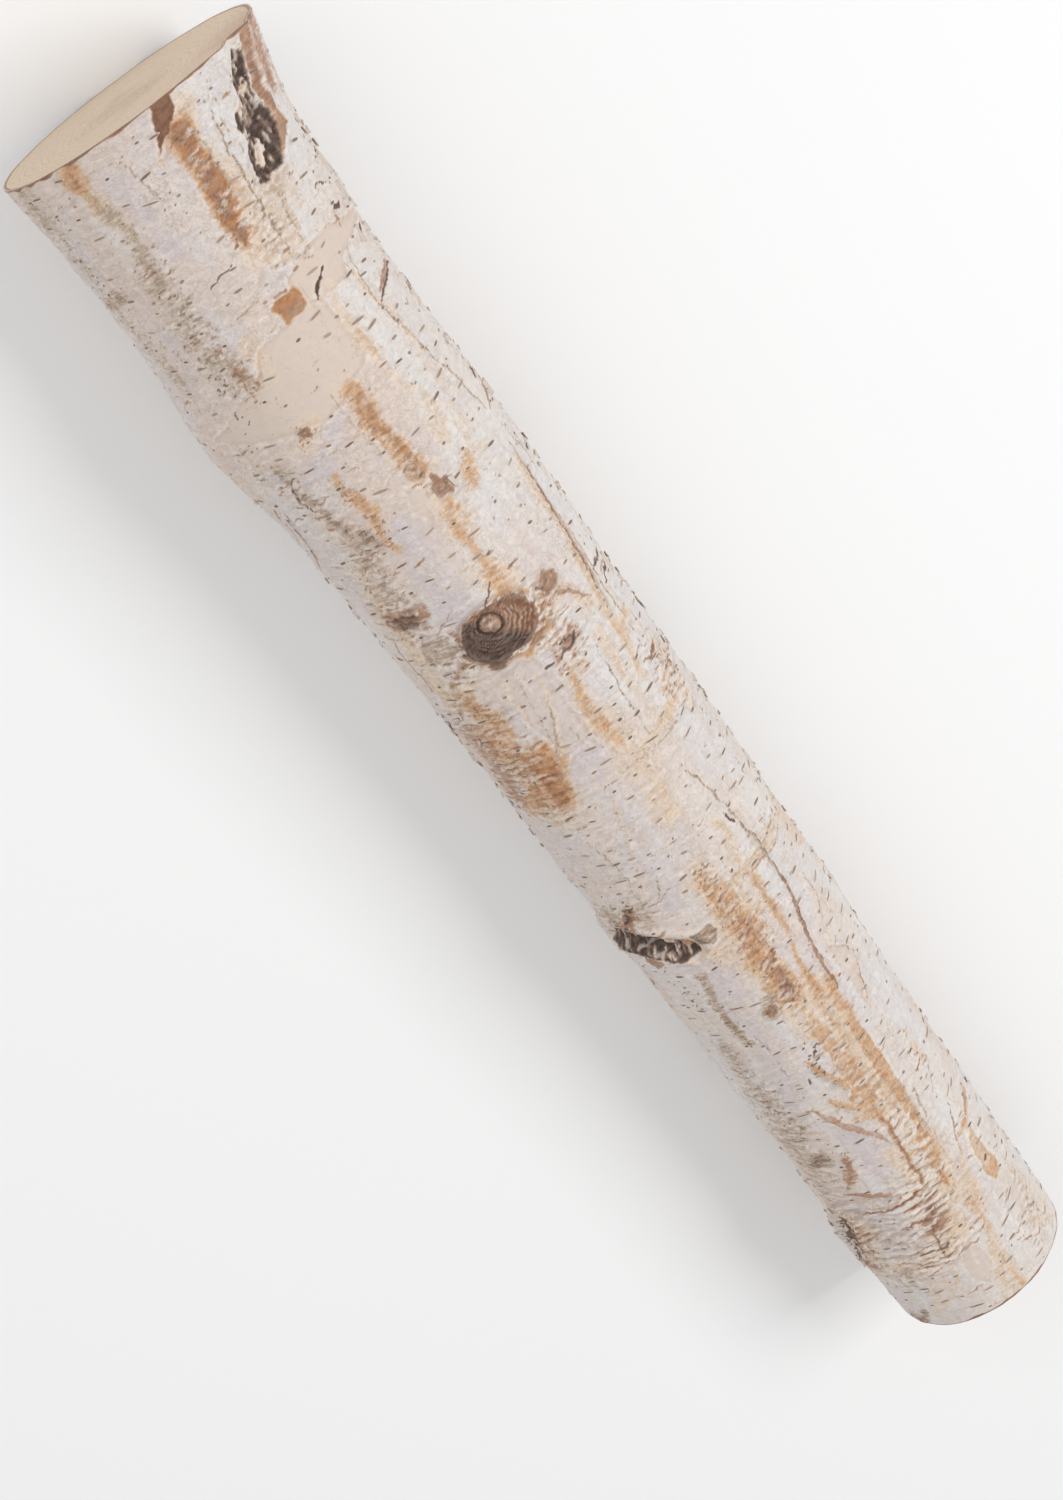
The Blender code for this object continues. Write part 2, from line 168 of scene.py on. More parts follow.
def path_distance(path, rows, s_grid=S_SHIFTED, t_grid=T_SHIFTED):
    """Distance in millimetres from a path on the bark, and the share of the path at the nearest point."""
    s, t = s_grid[rows], t_grid[rows]
    girth = GRID_GIRTH[rows]
    nearest, share_at = np.full(s.shape, 1e9), np.zeros(s.shape)
    lengths = [math.hypot(b[0] - a[0], math.radians(b[1] - a[1]) * MEAN_GIRTH) for a, b in zip(path, path[1:])]
    total, walked = sum(lengths), 0.0
    for (start, end), length in zip(zip(path, path[1:]), lengths):
        ds, da = s - start[0], arc_from(t, start[1], girth)
        leg_s, leg_a = end[0] - start[0], math.radians(end[1] - start[1]) * girth
        share = np.clip((ds * leg_s + da * leg_a) / (leg_s**2 + leg_a**2 + 1e-9), 0, 1)
        d = np.hypot(ds - share * leg_s, da - share * leg_a)
        closer = d < nearest
        nearest = np.where(closer, d, nearest)
        share_at = np.where(closer, (walked + share * length) / total, share_at)
        walked += length
    return nearest, share_at


def inside(outline, rows):
    """Whether each grid point lies in a closed outline of places."""
    s, t = S_SHIFTED[rows], T_SHIFTED[rows]
    found = np.zeros(s.shape, bool)
    for (s0, t0), (s1, t1) in zip(outline, outline[1:] + outline[:1]):
        if t0 == t1:
            continue
        turn = (t - t0 + 180) % 360 - 180 + t0
        crosses = (t0 > turn) != (t1 > turn)
        found ^= crosses & (s < (s1 - s0) * (turn - t0) / (t1 - t0) + s0)
    return found


MARKS = ("lilac", "rust", "ochre", "cream", "grime", "dark", "red", "pale")
masks = {name: np.zeros(S.shape) for name in MARKS}
relief = np.zeros(S.shape)
EVERY_ROW = slice(None)


def lay(name, rows, amount):
    """Lays a colour on the bark wherever it is stronger than what is there already."""
    masks[name][rows] = np.maximum(masks[name][rows], amount)


def at_least_a_dash(path):
    """The path, or a tenth of a millimetre of one where it is a single place."""
    return path if len(path) > 1 else (path[0], (path[0][0] + 0.1, path[0][1]))


def stain(name, half_width, strength, *path):
    """A soft cloud of colour along a path."""
    path = at_least_a_dash(path)
    rows = rows_near(path, 3 * half_width + 3)
    d, _ = path_distance(path, rows, S_SHIFTED, T_DRIFTED)
    half = half_width * (1.05 + 0.5 * swell[rows])
    cloud = np.exp(-((d / half) ** 2)) * (1.0 + 0.55 * patchy[rows] + 0.25 * swell[rows])
    lay(name, rows, strength * cloud)


def line(name, half_width, height, strength, *path):
    """A narrow line that swells in its middle: a raised fold, or a crack if height is negative."""
    rows = rows_near(path, 3 * half_width + 1)
    d, share = path_distance(path, rows)
    half = half_width * (0.35 + 0.65 * np.sin(np.pi * share) ** 0.7)
    lay(name, rows, strength * (1 - ramp(d, 0.55 * half, 1.25 * half)))
    relief[rows] += height * np.exp(-((d / (1.1 * half)) ** 2)) * np.sin(np.pi * share) ** 0.5


def sheet(name, strength, depth, *outline):
    """A torn-off layer: an area of another colour, sunk by depth, with a crisp edge."""
    outline = list(outline)
    rows = rows_near(outline, 3)
    d, _ = path_distance(outline + outline[:1], rows)
    signed = np.where(inside(outline, rows), d, -d)
    lay(name, rows, strength * ramp(signed, -0.25, 0.35))
    relief[rows] -= depth * ramp(signed, -0.2, 0.3)
    relief[rows] += 0.5 * depth * np.exp(-(((signed + 0.6) / 0.45) ** 2))


def lumps(around, along, seed, octaves=1, bend=0.0):
    """The same noise, scaled so that its usual swing is 1."""
    field = noise_field(around, along, seed, octaves, bend)
    return field / field.std()


bend = 2.6 * noise_field(15, 15, 61.0)
folds = lumps(6, 1.9, 63.0, 3, bend)
creases = np.exp(-((folds / 0.20) ** 2)) * ramp(patchy + 0.5 * swell, -0.25, 0.35)
crumbs = lumps(1.3, 1.0, 81.0, 2)


def grit(name, half_width, strength, rarity, *path):
    """Dark or bright crumbs strewn along a path, rarer away from it."""
    path = at_least_a_dash(path)
    rows = rows_near(path, 3 * half_width + 3)
    d, _ = path_distance(path, rows, S_SHIFTED, T_DRIFTED)
    cloud = np.exp(-((d / half_width) ** 2))
    found = ramp(crumbs[rows] - rarity - 2.2 * (1 - cloud), 0.0, 0.45)
    lay(name, rows, strength * found)


def wrinkles(name, half_width, height, strength, *path):
    """A zone where the bark is puckered in low folds round the trunk, with creases between."""
    rows = rows_near(path, 2 * half_width + 2)
    d, _ = path_distance(path, rows, S_SHIFTED, T_DRIFTED)
    zone = 1 - ramp(d, 0.5 * half_width, 1.3 * half_width)
    relief[rows] += height * zone * folds[rows]
    lay(name, rows, strength * zone * creases[rows])


def crinkles(draw, count, along, turn, turned, strength=0.8):
    """Thin pale ridges round the trunk inside a range of places, each with a sunk dark crease beside it that is
    partly painted shadow.
    """
    for _ in range(count):
        s, t = draw.uniform(*along), draw.uniform(*turn)
        span, reach = draw.uniform(0.4, 1.3) * turned, draw.uniform(-1.3, 1.3)
        half_width, side = draw.uniform(0.42, 0.72), draw.choice((-1, 1)) * draw.uniform(0.7, 1.1)
        bow = draw.uniform(-0.9, 0.9)
        middle = (s + reach / 2 + bow, t - span * draw.uniform(-0.2, 0.2))
        path = [(s, t - span / 2), middle, (s + reach, t + span / 2)]
        line("pale", half_width, 0.24, strength * draw.uniform(0.6, 1.1), *path)
        # The crease beside the ridge is partly painted shadow: a dark line, sunk a little.
        name, share = draw.choice((("red", 0.75), ("grime", 0.9), ("red", 0.55), ("dark", 0.4)))
        share *= draw.uniform(0.5, 1.0)
        beside = [(a + side, b) for a, b in path[: draw.choice((2, 3, 3))]]
        line(name, 0.6 * half_width, -0.16, share, *beside)


# Torn layers: smooth cream patches, the orange square, the tan ones and the reddish edges.
for name, marks in {
    "cream": (
        (0.8, 0.2, (49, -46), (51.5, -60), (52.5, -76), (55, -76), (56, -58), (57.5, -44), (61, -40),
         (61.5, -22), (60, -15), (53, -13), (50, -20), (49, -32)),
        (0.78, 0.22, (60, -22), (72, -24), (79, -24), (81.5, -12), (84.5, -5), (85.5, 6), (84, 20),
         (82.5, 35), (80, 50), (77, 61), (75, 50), (71, 38), (69.5, 25), (62, 14), (60.5, -2)),
        (0.75, 0.14, (114, -13), (119, -20), (124, -12), (125, 0), (120, 4), (114, 1)),
        (0.6, 0.14, (178, -46), (184, -45), (183, -40), (177, -41)),
        (0.3, 0.12, (168, 1), (182, 3), (199, 2), (200, 20), (186, 24), (170, 20)),
        (0.35, 0.12, (296, -34), (305, -50), (315, -38), (321, -34), (308, -32)),
        (0.5, 0.1, (399, -3), (414, -5), (420, 4), (414, 12), (405, 8)),
    ),
    "rust": (
        (1.0, 0.1, (54.5, -15), (60.3, -15), (60.6, -3), (54.8, -1)),
        (0.75, 0.05, (19, -56), (24, -63), (26.5, -50), (28, -43), (24, -47), (20, -51)),
        (0.45, 0.04, (389.5, -49), (395, -48), (395, -38), (390, -37)),
        (0.55, 0.06, (318, -23), (335, -24), (352, -22), (366, -19), (366, -15), (350, -16), (335, -15),
         (318, -16)),
        (0.42, 0.06, (314, -6), (330, -7), (346, -8), (348, -1), (345, 6), (340, 7), (336, 2), (314, 3)),
        (0.4, 0.05, (283, -6), (299, -5), (300, 5), (285, 5)),
        (0.4, 0.06, (83, -12), (113, -12), (113, -4), (84, -3)),
    ),
    "red": (
        (0.55, 0.05, (53.2, -11), (54.4, -11), (54.4, -5), (53.4, -4)),
        (0.45, 0.05, (57.6, -14), (60.2, -14), (60.4, -5), (57.4, -6)),
        (0.5, 0.28, (-2, -60), (6, -56), (12, -53), (19, -55), (24, -63), (25.5, -57), (26.5, -50), (29, -42),
         (31.5, -31), (29, -30), (25, -47), (20, -49), (12, -49), (3, -53), (-2, -54)),
        (1.1, 0.25, (-2, -12), (2, -12), (5, -8), (9, 1), (5, -1), (2, -3), (-2, -4)),
        (0.55, 0.1, (268, 48), (273, 47), (274, 56), (270, 58)),
    ),
    "dark": (
        (0.95, 0.3, (1, -47), (3, -53), (8, -50), (14, -48), (20, -50), (25, -48), (29, -42), (31.5, -33),
         (30, -28), (25, -30), (20, -31), (14, -30), (12, -36), (7, -38), (4, -42)),
        (0.92, 0.2, (272, 24), (269, 25), (264, 33), (261.5, 40), (259.5, 50), (256.5, 60), (257, 76),
         (264, 76), (266, 62), (269, 50), (272, 40), (273, 32)),
    ),
    "ochre": (
        (0.35, 0.12, (32, -33), (41, -34), (49, -33), (49.4, -22), (48, -10), (40, -11), (33, -19)),
        (0.75, 0.1, (72.5, -29), (80, -29), (80.6, -24), (73, -24)),
        (0.8, 0.16, (376, -47), (386, -48), (389, -50), (395, -48), (395.5, -38), (392, -36), (384, -37),
        (377, -40)), (0.4, 0.12, (252, -84), (264, -86), (275, -80), (272, -64), (258, -62)),
        (0.45, 0.05, (338, 2), (346, 1), (347, 8), (344, 11), (339, 7)),
    ),
    "grime": (
        (0.75, 0.12, (265.5, 12), (268, 10), (271, 15), (270.5, 24), (265.5, 24)),
        (0.45, 0.1, (152, 30), (158, 28), (162, 36), (158, 50), (152, 44)),
    ),
}.items():
    for strength, depth, *outline in marks:
        sheet(name, strength, depth, *outline)

# Stains that run down the trunk.
for name, marks in {
    "lilac": (
        (7.0, 0.8, (124, 12), (134, 14), (148, 14)), (6.0, 0.9, (170, 8), (184, 12), (208, 12)),
        (5.0, 0.6, (86, 4), (98, 28), (92, 52)), (6.0, 0.6, (8, 20), (30, 16)), (6.0, 0.55, (48, 48), (66, 56)),
        (7.0, 0.55, (226, 14), (252, 22)), (6.0, 0.6, (276, 22), (300, 28), (330, 32)),
        (5.0, 0.6, (350, 18), (372, 14), (380, 24)), (5.0, 0.8, (378, 42), (388, 36), (391, 24)),
        (6.0, 0.5, (410, 22), (424, 30)), (7.0, 0.5, (120, 190), (180, 180)),
        (7.0, 0.5, (250, 200), (330, 190)),
    ),
    "rust": (
        (2.6, 1.5, (8, -9), (20, -10), (37, -11)), (3.0, 0.85, (0, 35), (4, 35)),
        (2.4, 0.72, (83, -9), (96, -9), (112, -9)), (3.2, 0.45, (118, -34), (121, -27)),
        (2.4, 0.42, (124, -9), (150, -8)), (1.9, 0.65, (100, 21), (112, 20), (122, 23)),
        (1.2, 0.6, (124, 21), (126, 21)), (1.6, 0.6, (160, -13), (166, -9), (168, 4)),
        (2.0, 0.45, (184, -8), (205, -6)), (5.0, 0.6, (177, 44), (186, 38)), (5.0, 0.62, (187, 46), (197, 42)),
        (3.6, 0.95, (195, 33), (203, 33), (211, 36)), (4.0, 0.6, (206, 44), (210, 56)),
        (2.8, 0.4, (200, -66), (205, -50)), (3.6, 0.55, (255, 0), (263, 0)),
        (3.6, 0.66, (272, -1), (284, 0), (298, 0)), (2.6, 0.4, (299, 0), (311, 0)),
        (3.2, 0.42, (308, -1), (330, -3), (346, -3)), (1.3, 0.55, (262, -21), (276, -20)),
        (1.6, 0.5, (276, -20), (292, -16), (305, -13)),
        (2.1, 0.5, (305, -21), (318, -21), (340, -20), (354, -18)),
        (2.0, 0.6, (354, -18), (368, -15), (380, -12)), (1.0, 0.75, (348, -3), (352, -3), (362, -1), (376, 1)),
        (2.4, 0.4, (340, -6), (346, 7)), (2.6, 0.24, (403, 14), (405, 26)), (1.6, 0.32, (392, -18), (404, -14)),
        (1.6, 0.35, (416, -10), (431, -9)), (1.3, 0.5, (369, -64), (373, -50), (374, -36)),
    ),
    "ochre": (
        (4.6, 0.5, (4, -12), (26, -15), (44, -13)), (4.4, 0.4, (28, -36), (34, -26), (48, -24)),
        (2.2, 1.05, (1, 36), (14, 33), (22, 31)), (3.4, 0.5, (60, 15), (68, 17)),
        (4.6, 0.42, (82, -8), (116, -8)), (2.2, 0.4, (60, -28), (84, -28), (110, -27)),
        (2.4, 0.35, (97, -34), (106, -33)), (3.0, 0.55, (84, 16), (88, 22)), (4.4, 0.45, (108, -9), (150, -8)),
        (5.0, 0.45, (128, 46), (146, 50), (160, 46)), (3.2, 0.7, (158, -18), (168, -10), (167, 4)),
        (3.0, 0.45, (160, -24), (170, -38)), (2.4, 0.5, (130, -58), (150, -53), (172, -47), (196, -42)),
        (2.0, 0.6, (181, -57), (182, -43)), (4.0, 0.5, (180, -8), (205, -6), (232, -5)),
        (2.6, 0.35, (178, -32), (210, -29)), (8.0, 0.6, (172, 46), (212, 40)),
        (2.0, 0.6, (209, -50), (211, -12)), (4.0, 0.4, (196, -62), (214, -58)),
        (2.4, 0.5, (259, -55), (259, -6)), (4.6, 0.4, (258, -80), (266, -64)),
        (4.8, 0.65, (254, 1), (268, 1), (312, 0)), (1.1, 0.65, (243, -24), (262, -21)),
        (5.4, 0.58, (304, -12), (340, -12), (384, -12)), (3.6, 0.45, (268, 30), (276, 16)),
        (1.1, 0.6, (273.5, 4), (274, 36)), (6.0, 0.6, (366, 2), (386, 6), (402, 8)),
        (5.0, 0.48, (401, 18), (404, 32), (402, 48)),
        (2.6, 0.55, (387, -20), (402, -15), (415, -11), (431, -9)), (2.6, 0.45, (416, -3), (431, -3)),
        (6.0, 0.45, (384, 50), (402, 62)), (5.0, 0.3, (404, -60), (420, -62)),
        (1.4, 0.45, (337, -46), (349, -46)), (6.0, 0.3, (410, 30), (424, 40)),
    ),
    "red": (
        (7.0, 0.62, (-2, -70), (6, -66), (13, -61)), (2.4, 0.75, (145, 33), (144, 52)),
        (1.1, 0.42, (153, 26), (159, 28), (163, 33), (168, 47)), (2.8, 0.42, (171, -20), (174, -14), (176, -6)),
        (5.0, 0.4, (186, 60), (206, 62)), (1.2, 0.45, (286, -2), (298, -1)), (2.2, 0.75, (253, 48), (258, 54)),
        (2.6, 0.6, (384, 3), (391, 10)), (2.6, 0.45, (357, 31), (364, 38)),
        (4.6, 0.5, (386, 56), (392, 66), (402, 72)),
    ),
    "grime": (
        (2.4, 0.55, (14, 33), (22, 31), (36, 32)), (5.0, 0.26, (30, 34), (48, 35), (68, 30)),
        (3.0, 0.45, (58, 32), (68, 26)), (2.8, 0.5, (0, 64), (10, 66)), (2.4, 0.7, (34, 58), (36, 72)),
        (5.0, 0.26, (0, 60), (30, 66), (60, 62)), (2.4, 0.5, (92, 38), (101, 41), (109, 37)),
        (2.6, 0.6, (109, 38), (114, 34), (121, 28)), (6.0, 0.3, (122, 38), (136, 40), (148, 40)),
        (1.8, 0.6, (280, 36), (292, 37), (308, 37)), (2.4, 0.55, (296, 9), (301, 15)),
        (5.5, 0.4, (256, 44), (254, 62)), (2.8, 0.4, (308, 54), (326, 51), (344, 46)),
        (6.0, 0.26, (330, 62), (350, 56)), (4.6, 0.25, (380, 46), (388, 40), (394, 28)),
        (3.4, 0.32, (404, 44), (413, 48)), (2.4, 0.65, (355, 46), (357, 57)), (2.6, 0.7, (424, 55), (427, 66)),
        (6.0, 0.3, (350, 66), (370, 60), (384, 62)),
    ),
}.items():
    for half_width, strength, *path in marks:
        stain(name, half_width, strength, *path)

# Crumbs of darker bark and dirt.
for name, marks in {
    "red": (
        (3.4, 0.9, 0.1, (8, -9), (22, -10), (38, -10)), (3.2, 0.6, 0.6, (84, -9), (112, -8)),
        (2.6, 0.75, 0.5, (62, 29), (69, 26)), (5.0, 0.6, 1.0, (124, 44), (150, 50)),
        (2.2, 0.6, 0.5, (86, 17), (87, 22)), (2.2, 0.7, 0.4, (104, 21), (124, 22)),
        (3.6, 0.7, 0.3, (158, -17), (168, -10)), (4.0, 0.6, 0.7, (168, -12), (180, -4)),
        (9.0, 0.55, 0.8, (176, 44), (196, 42), (210, 44)), (5.0, 0.6, 0.7, (198, -62), (206, -52)),
        (4.0, 0.65, 0.7, (251, 0), (262, 2), (272, 2)), (3.6, 0.75, 0.3, (272, -1), (286, -1), (300, -1)),
        (2.4, 0.5, 1.0, (306, -22), (350, -18)), (3.6, 0.7, 0.3, (356, 31), (365, 38)),
        (6.0, 0.45, 1.2, (372, 10), (392, 20), (400, 34)), (3.0, 0.7, 0.2, (384, 3), (392, 11)),
        (6.0, 0.7, 0.4, (384, 56), (402, 72)),
    ),
    "dark": (
        (3.0, 0.55, 1.1, (10, -10), (38, -11)), (2.6, 0.5, 1.3, (86, -9), (112, -8)),
        (6.0, 0.6, 1.4, (40, 34), (62, 34), (82, 40)), (4.0, 0.5, 1.2, (4, 64), (36, 64)),
        (2.6, 0.6, 1.0, (108, 38), (122, 28)), (2.2, 0.6, 0.6, (144, 36), (145, 50)),
        (2.6, 0.6, 0.9, (150, 24), (160, 28), (168, 44)), (2.4, 0.6, 0.3, (172, -19), (175, -8)),
        (7.0, 0.45, 1.2, (178, 44), (210, 44)), (3.0, 0.6, 1.0, (201, -66), (203, -56)),
        (3.0, 0.6, 1.0, (284, -2), (300, 0)), (2.4, 0.6, 0.9, (292, 37), (308, 38)),
        (5.0, 0.6, 1.3, (264, 50), (292, 54)), (3.0, 0.75, 0.6, (316, 8), (328, 10)),
        (5.0, 0.5, 1.3, (330, 56), (350, 52)), (2.6, 0.7, 0.4, (355, 46), (357, 57)),
        (5.0, 0.7, 0.6, (386, 58), (400, 72)), (2.4, 0.75, 0.3, (424, 56), (428, 74)),
        (3.0, 0.85, 0.2, (252, 47), (258, 54)),
    ),
    "grime": (
        (6.0, 0.55, 1.0, (34, -28), (50, -14)), (6.0, 0.7, 0.6, (22, 31), (46, 34), (68, 30)),
        (7.0, 0.5, 1.2, (50, 52), (80, 50), (104, 52)), (7.0, 0.5, 1.2, (0, 66), (50, 66), (90, 64)),
        (7.0, 0.65, 0.7, (92, 40), (120, 36), (148, 42)), (3.4, 0.6, 0.8, (116, -34), (122, -26)),
        (3.6, 0.5, 0.9, (126, -8), (150, -8)), (3.4, 0.55, 0.9, (184, -8), (214, -6)),
        (3.0, 0.75, 0.3, (280, 36), (294, 37), (308, 37)), (5.0, 0.65, 0.5, (308, 54), (326, 50), (346, 46)),
        (6.0, 0.45, 1.1, (402, 20), (408, 48)), (8.0, 0.5, 1.0, (330, 66), (380, 66)),
        (4.0, 0.5, 1.0, (388, -19), (420, -12)), (6.0, 0.45, 1.1, (404, -56), (424, -40)),
        (7.0, 0.45, 1.2, (220, 10), (246, 30)), (6.0, 0.45, 1.3, (10, -74), (60, -78), (120, -76)),
        (6.0, 0.45, 1.2, (160, -66), (240, -66)),
    ),
    "rust": (
        (3.6, 0.6, 0.7, (306, -2), (346, -3)),
    ),
}.items():
    for half_width, strength, rarity, *path in marks:
        grit(name, half_width, strength, rarity, *path)

# Lines: folds, cracks, edges of layers and old scratches.
for name, marks in {
    "dark": (
        (0.42, -0.35, 1.0, (55.8, -31), (57, -29), (58.2, -24), (60.5, -20)),
        (0.45, -0.25, 0.75, (68.5, -76), (69.3, -66), (71, -54), (72, -46)),
        (0.42, -0.2, 0.75, (56, -75), (58.5, -62)), (0.6, -0.2, 0.8, (48, -66), (48.2, -57)),
        (0.3, -0.12, 0.65, (40, -50), (41.5, -64)), (0.32, -0.14, 0.65, (41.5, 2), (42, 9), (43.5, 16)),
        (0.35, -0.15, 0.7, (94, 36), (98, 42), (102, 44), (108, 38)),
        (0.4, -0.18, 0.6, (106, 63), (116, 66), (124, 76)),
        (0.28, -0.15, 0.6, (128, -60), (141, -57), (152, -53), (162, -50), (176, -45)),
        (0.45, -0.22, 0.75, (165, -75), (166.5, -66), (165.5, -56)),
        (0.42, -0.22, 0.75, (169.5, -78), (170, -66), (171.6, -56)),
        (0.4, -0.2, 0.7, (156, -13), (156.5, -18), (158, -22)),
        (0.5, -0.2, 0.8, (172.4, -21), (174.6, -16), (175, -9)), (0.4, -0.2, 0.75, (175.2, -4), (175.4, 2)),
        (0.3, -0.12, 0.7, (146, -3), (149, 1), (151, 6)),
        (0.26, -0.15, 0.6, (244, -35), (260, -37), (272, -36), (284, -31), (300, -26)),
        (0.42, -0.25, 0.85, (243, -30), (247.5, -32)), (0.26, -0.1, 0.5, (305, -51), (312, -43), (319, -36)),
        (0.45, -0.12, 0.7, (326.5, 19.5), (328.5, 20)), (0.3, -0.15, 0.6, (399, 4), (400, 16), (399, 30)),
        (0.6, -0.25, 0.85, (387.6, -45.5), (388.6, -40.5)),
        (0.26, -0.12, 0.6, (369, -64), (371, -54), (373, -46)), (0.45, -0.15, 0.85, (265, 33), (263.5, 38)),
        (0.6, -0.3, 0.8, (366, 80), (371, 86), (375, 82)), (0.6, -0.3, 0.8, (420, 78), (425, 86), (428, 80)),
        (0.5, -0.2, 0.8, (80, -84), (83, -78)), (0.5, -0.2, 0.8, (258.5, -70), (259.6, -68)),
    ),
    "red": (
        (0.8, 0.22, 0.7, (67.6, -74), (68.6, -62), (70.6, -50)), (0.55, 0.2, 0.65, (49, -56), (52.5, -56)),
        (0.55, 0.16, 0.6, (7.5, -30), (8, -34)), (0.55, 0.12, 0.6, (36, -3), (36.5, -14)),
        (0.35, 0.1, 0.6, (62, 22), (66, 27), (70, 29)), (0.5, 0.14, 0.65, (85, 15), (86.5, 22)),
        (0.9, 0.5, 0.52, (125, -61), (140, -58), (150, -55), (160, -52), (170, -49), (176, -47)),
        (0.5, 0.2, 0.6, (168, -76), (168.8, -60)),
        (0.55, 0.3, 0.7, (157, -15), (158, -18), (160, -22), (165, -34), (170, -41)),
        (0.4, -0.15, 0.7, (147, -20), (147.4, -13)), (0.4, -0.15, 0.7, (132, 13), (132.3, 20)),
        (0.5, 0.2, 0.65, (150, 61), (160, 62), (170, 60)),
        (0.45, -0.15, 0.75, (194, -65), (195.5, -54), (195, -45)),
        (0.45, -0.15, 0.75, (200, -68), (202, -58), (202, -50)),
        (0.7, 0.36, 0.8, (270, -36), (280, -32), (290, -28), (299, -25), (308, -25)),
        (0.35, 0.18, 0.55, (261, -58), (261.6, -40), (260.6, -14)),
        (1.3, 0.34, 0.46, (337, 29), (342, 22), (348, 14), (353, 7), (358, 3)),
        (0.95, 0.46, 0.75, (376, 12), (374, 22), (371, 34), (369.5, 46)),
        (0.55, 0.25, 0.6, (402, 10), (403, 24), (402, 36)),
        (0.5, 0.25, 0.75, (108, -84), (112, -74), (115, -66)),
    ),
    "grime": (
        (0.4, 0.2, 0.8, (49, -33), (50.3, -30), (49.4, -22)), (0.32, 0.12, 0.6, (33, -31), (49, -31)),
        (0.35, -0.12, 0.7, (6, -24), (20, -22), (48, -22)), (0.3, 0.1, 0.6, (3, -28), (12, -26), (24, -27)),
        (0.35, 0.15, 0.6, (49, -46), (51, -58), (52, -70)),
        (0.32, -0.12, 0.7, (56, -50), (62, -46), (72, -45), (84, -51), (96, -56), (112, -62)),
        (0.3, 0.12, 0.6, (88, -52), (100, -58), (112, -60)), (0.32, -0.12, 0.6, (52, 2), (52.4, 14)),
        (0.32, 0.1, 0.65, (4, 16), (12, 12), (18, 10)),
        (0.55, 0.24, 0.75, (104, 60), (114, 63), (122, 70), (126, 80)),
        (0.55, 0.24, 0.75, (102, 66), (110, 69), (116, 76)),
        (0.3, -0.12, 0.65, (148, -59), (162, -56), (178, -54), (193, -51)),
        (0.4, 0.14, 0.75, (120, -66), (128, -70), (136, -69)), (0.32, 0.12, 0.6, (103, -57), (114, -63)),
        (0.3, 0.12, 0.65, (148, 20), (154, 40), (162, 58)), (0.28, -0.1, 0.65, (182, 8), (190, 14), (198, 21)),
        (0.28, 0.12, 0.6, (192, 9), (197, 8), (202, 6)), (0.3, 0.12, 0.6, (172, 14), (190, 18), (204, 26)),
        (0.35, 0.2, 0.7, (213.5, -40), (213, -10), (214, 14)),
        (0.32, -0.12, 0.6, (178, -26), (196, -23), (210, -22)),
        (0.32, -0.15, 0.7, (222, -26), (231, -30), (243, -34)),
        (0.32, 0.15, 0.6, (226, 40), (238, 34), (252, 36)),
        (0.75, 0.36, 0.8, (243, -34), (256, -36), (271, -36), (278, -34)),
        (0.35, 0.15, 0.6, (257, -62), (258, -40), (258, -8)),
        (0.3, -0.12, 0.65, (249, 14), (252, 26), (252, 42)), (0.3, -0.12, 0.6, (243, 18), (249, 22), (253, 30)),
        (0.4, 0.16, 0.65, (276, -53), (283, -50), (291, -43)),
        (0.5, 0.2, 0.6, (296, -34), (300, -42), (305, -50)), (0.45, 0.22, 0.65, (321, 17), (329, 10), (337, 4)),
        (0.5, 0.4, 0.6, (376.6, 14), (377.6, 26), (377, 40)), (0.5, 0.35, 0.6, (374, 36), (377, 46), (380, 50)),
        (0.36, -0.12, 0.75, (364, -43), (370, -36), (378, -30)),
        (0.35, 0.2, 0.6, (345, -20), (346, -10), (345.5, 0)),
        (0.3, -0.12, 0.55, (410, -38), (415, -50), (420, -58)),
        (0.3, 0.14, 0.55, (342, -44), (350, -48), (358, -38)),
    ),
    "ochre": (
        (0.9, 0.25, 0.8, (58, -42), (71, -46), (80, -50), (90, -52)), (0.45, 0.14, 0.75, (8, 1), (12, 3)),
        (0.9, 0.35, 1.0, (142, -55), (152, -52), (162, -50), (172, -47), (186, -43)),
        (0.5, 0.2, 0.7, (184, -44), (192, -42), (200, -40)),
        (0.55, 0.2, 0.75, (176, 6), (188, 11), (196, 18), (203, 25)),
        (0.4, 0.2, 0.7, (218, 12), (230, 20), (246, 26)),
        (0.8, 0.25, 0.8, (305, -50), (310, -44), (316, -38), (322, -35)), (0.6, 0.2, 0.7, (336, 28), (343, 22)),
        (0.8, 0.2, 0.65, (407, 16), (416, 21)), (0.6, 0.22, 0.75, (374, -33), (380, -28), (387, -22)),
        (0.7, 0.2, 0.7, (412, -36), (418, -48), (426, -66)),
    ),
    "rust": (
        (1.2, 0.3, 0.66, (320, 15), (328, 9), (336, 3)), (1.3, 0.3, 0.62, (336, 17), (339, 12), (343, 7)),
        (0.6, 0.15, 0.95, (349, -3.5), (360, -2), (370, 0), (376, 1)),
    ),
}.items():
    for half_width, height, strength, *path in marks:
        line(name, half_width, height, strength, *path)

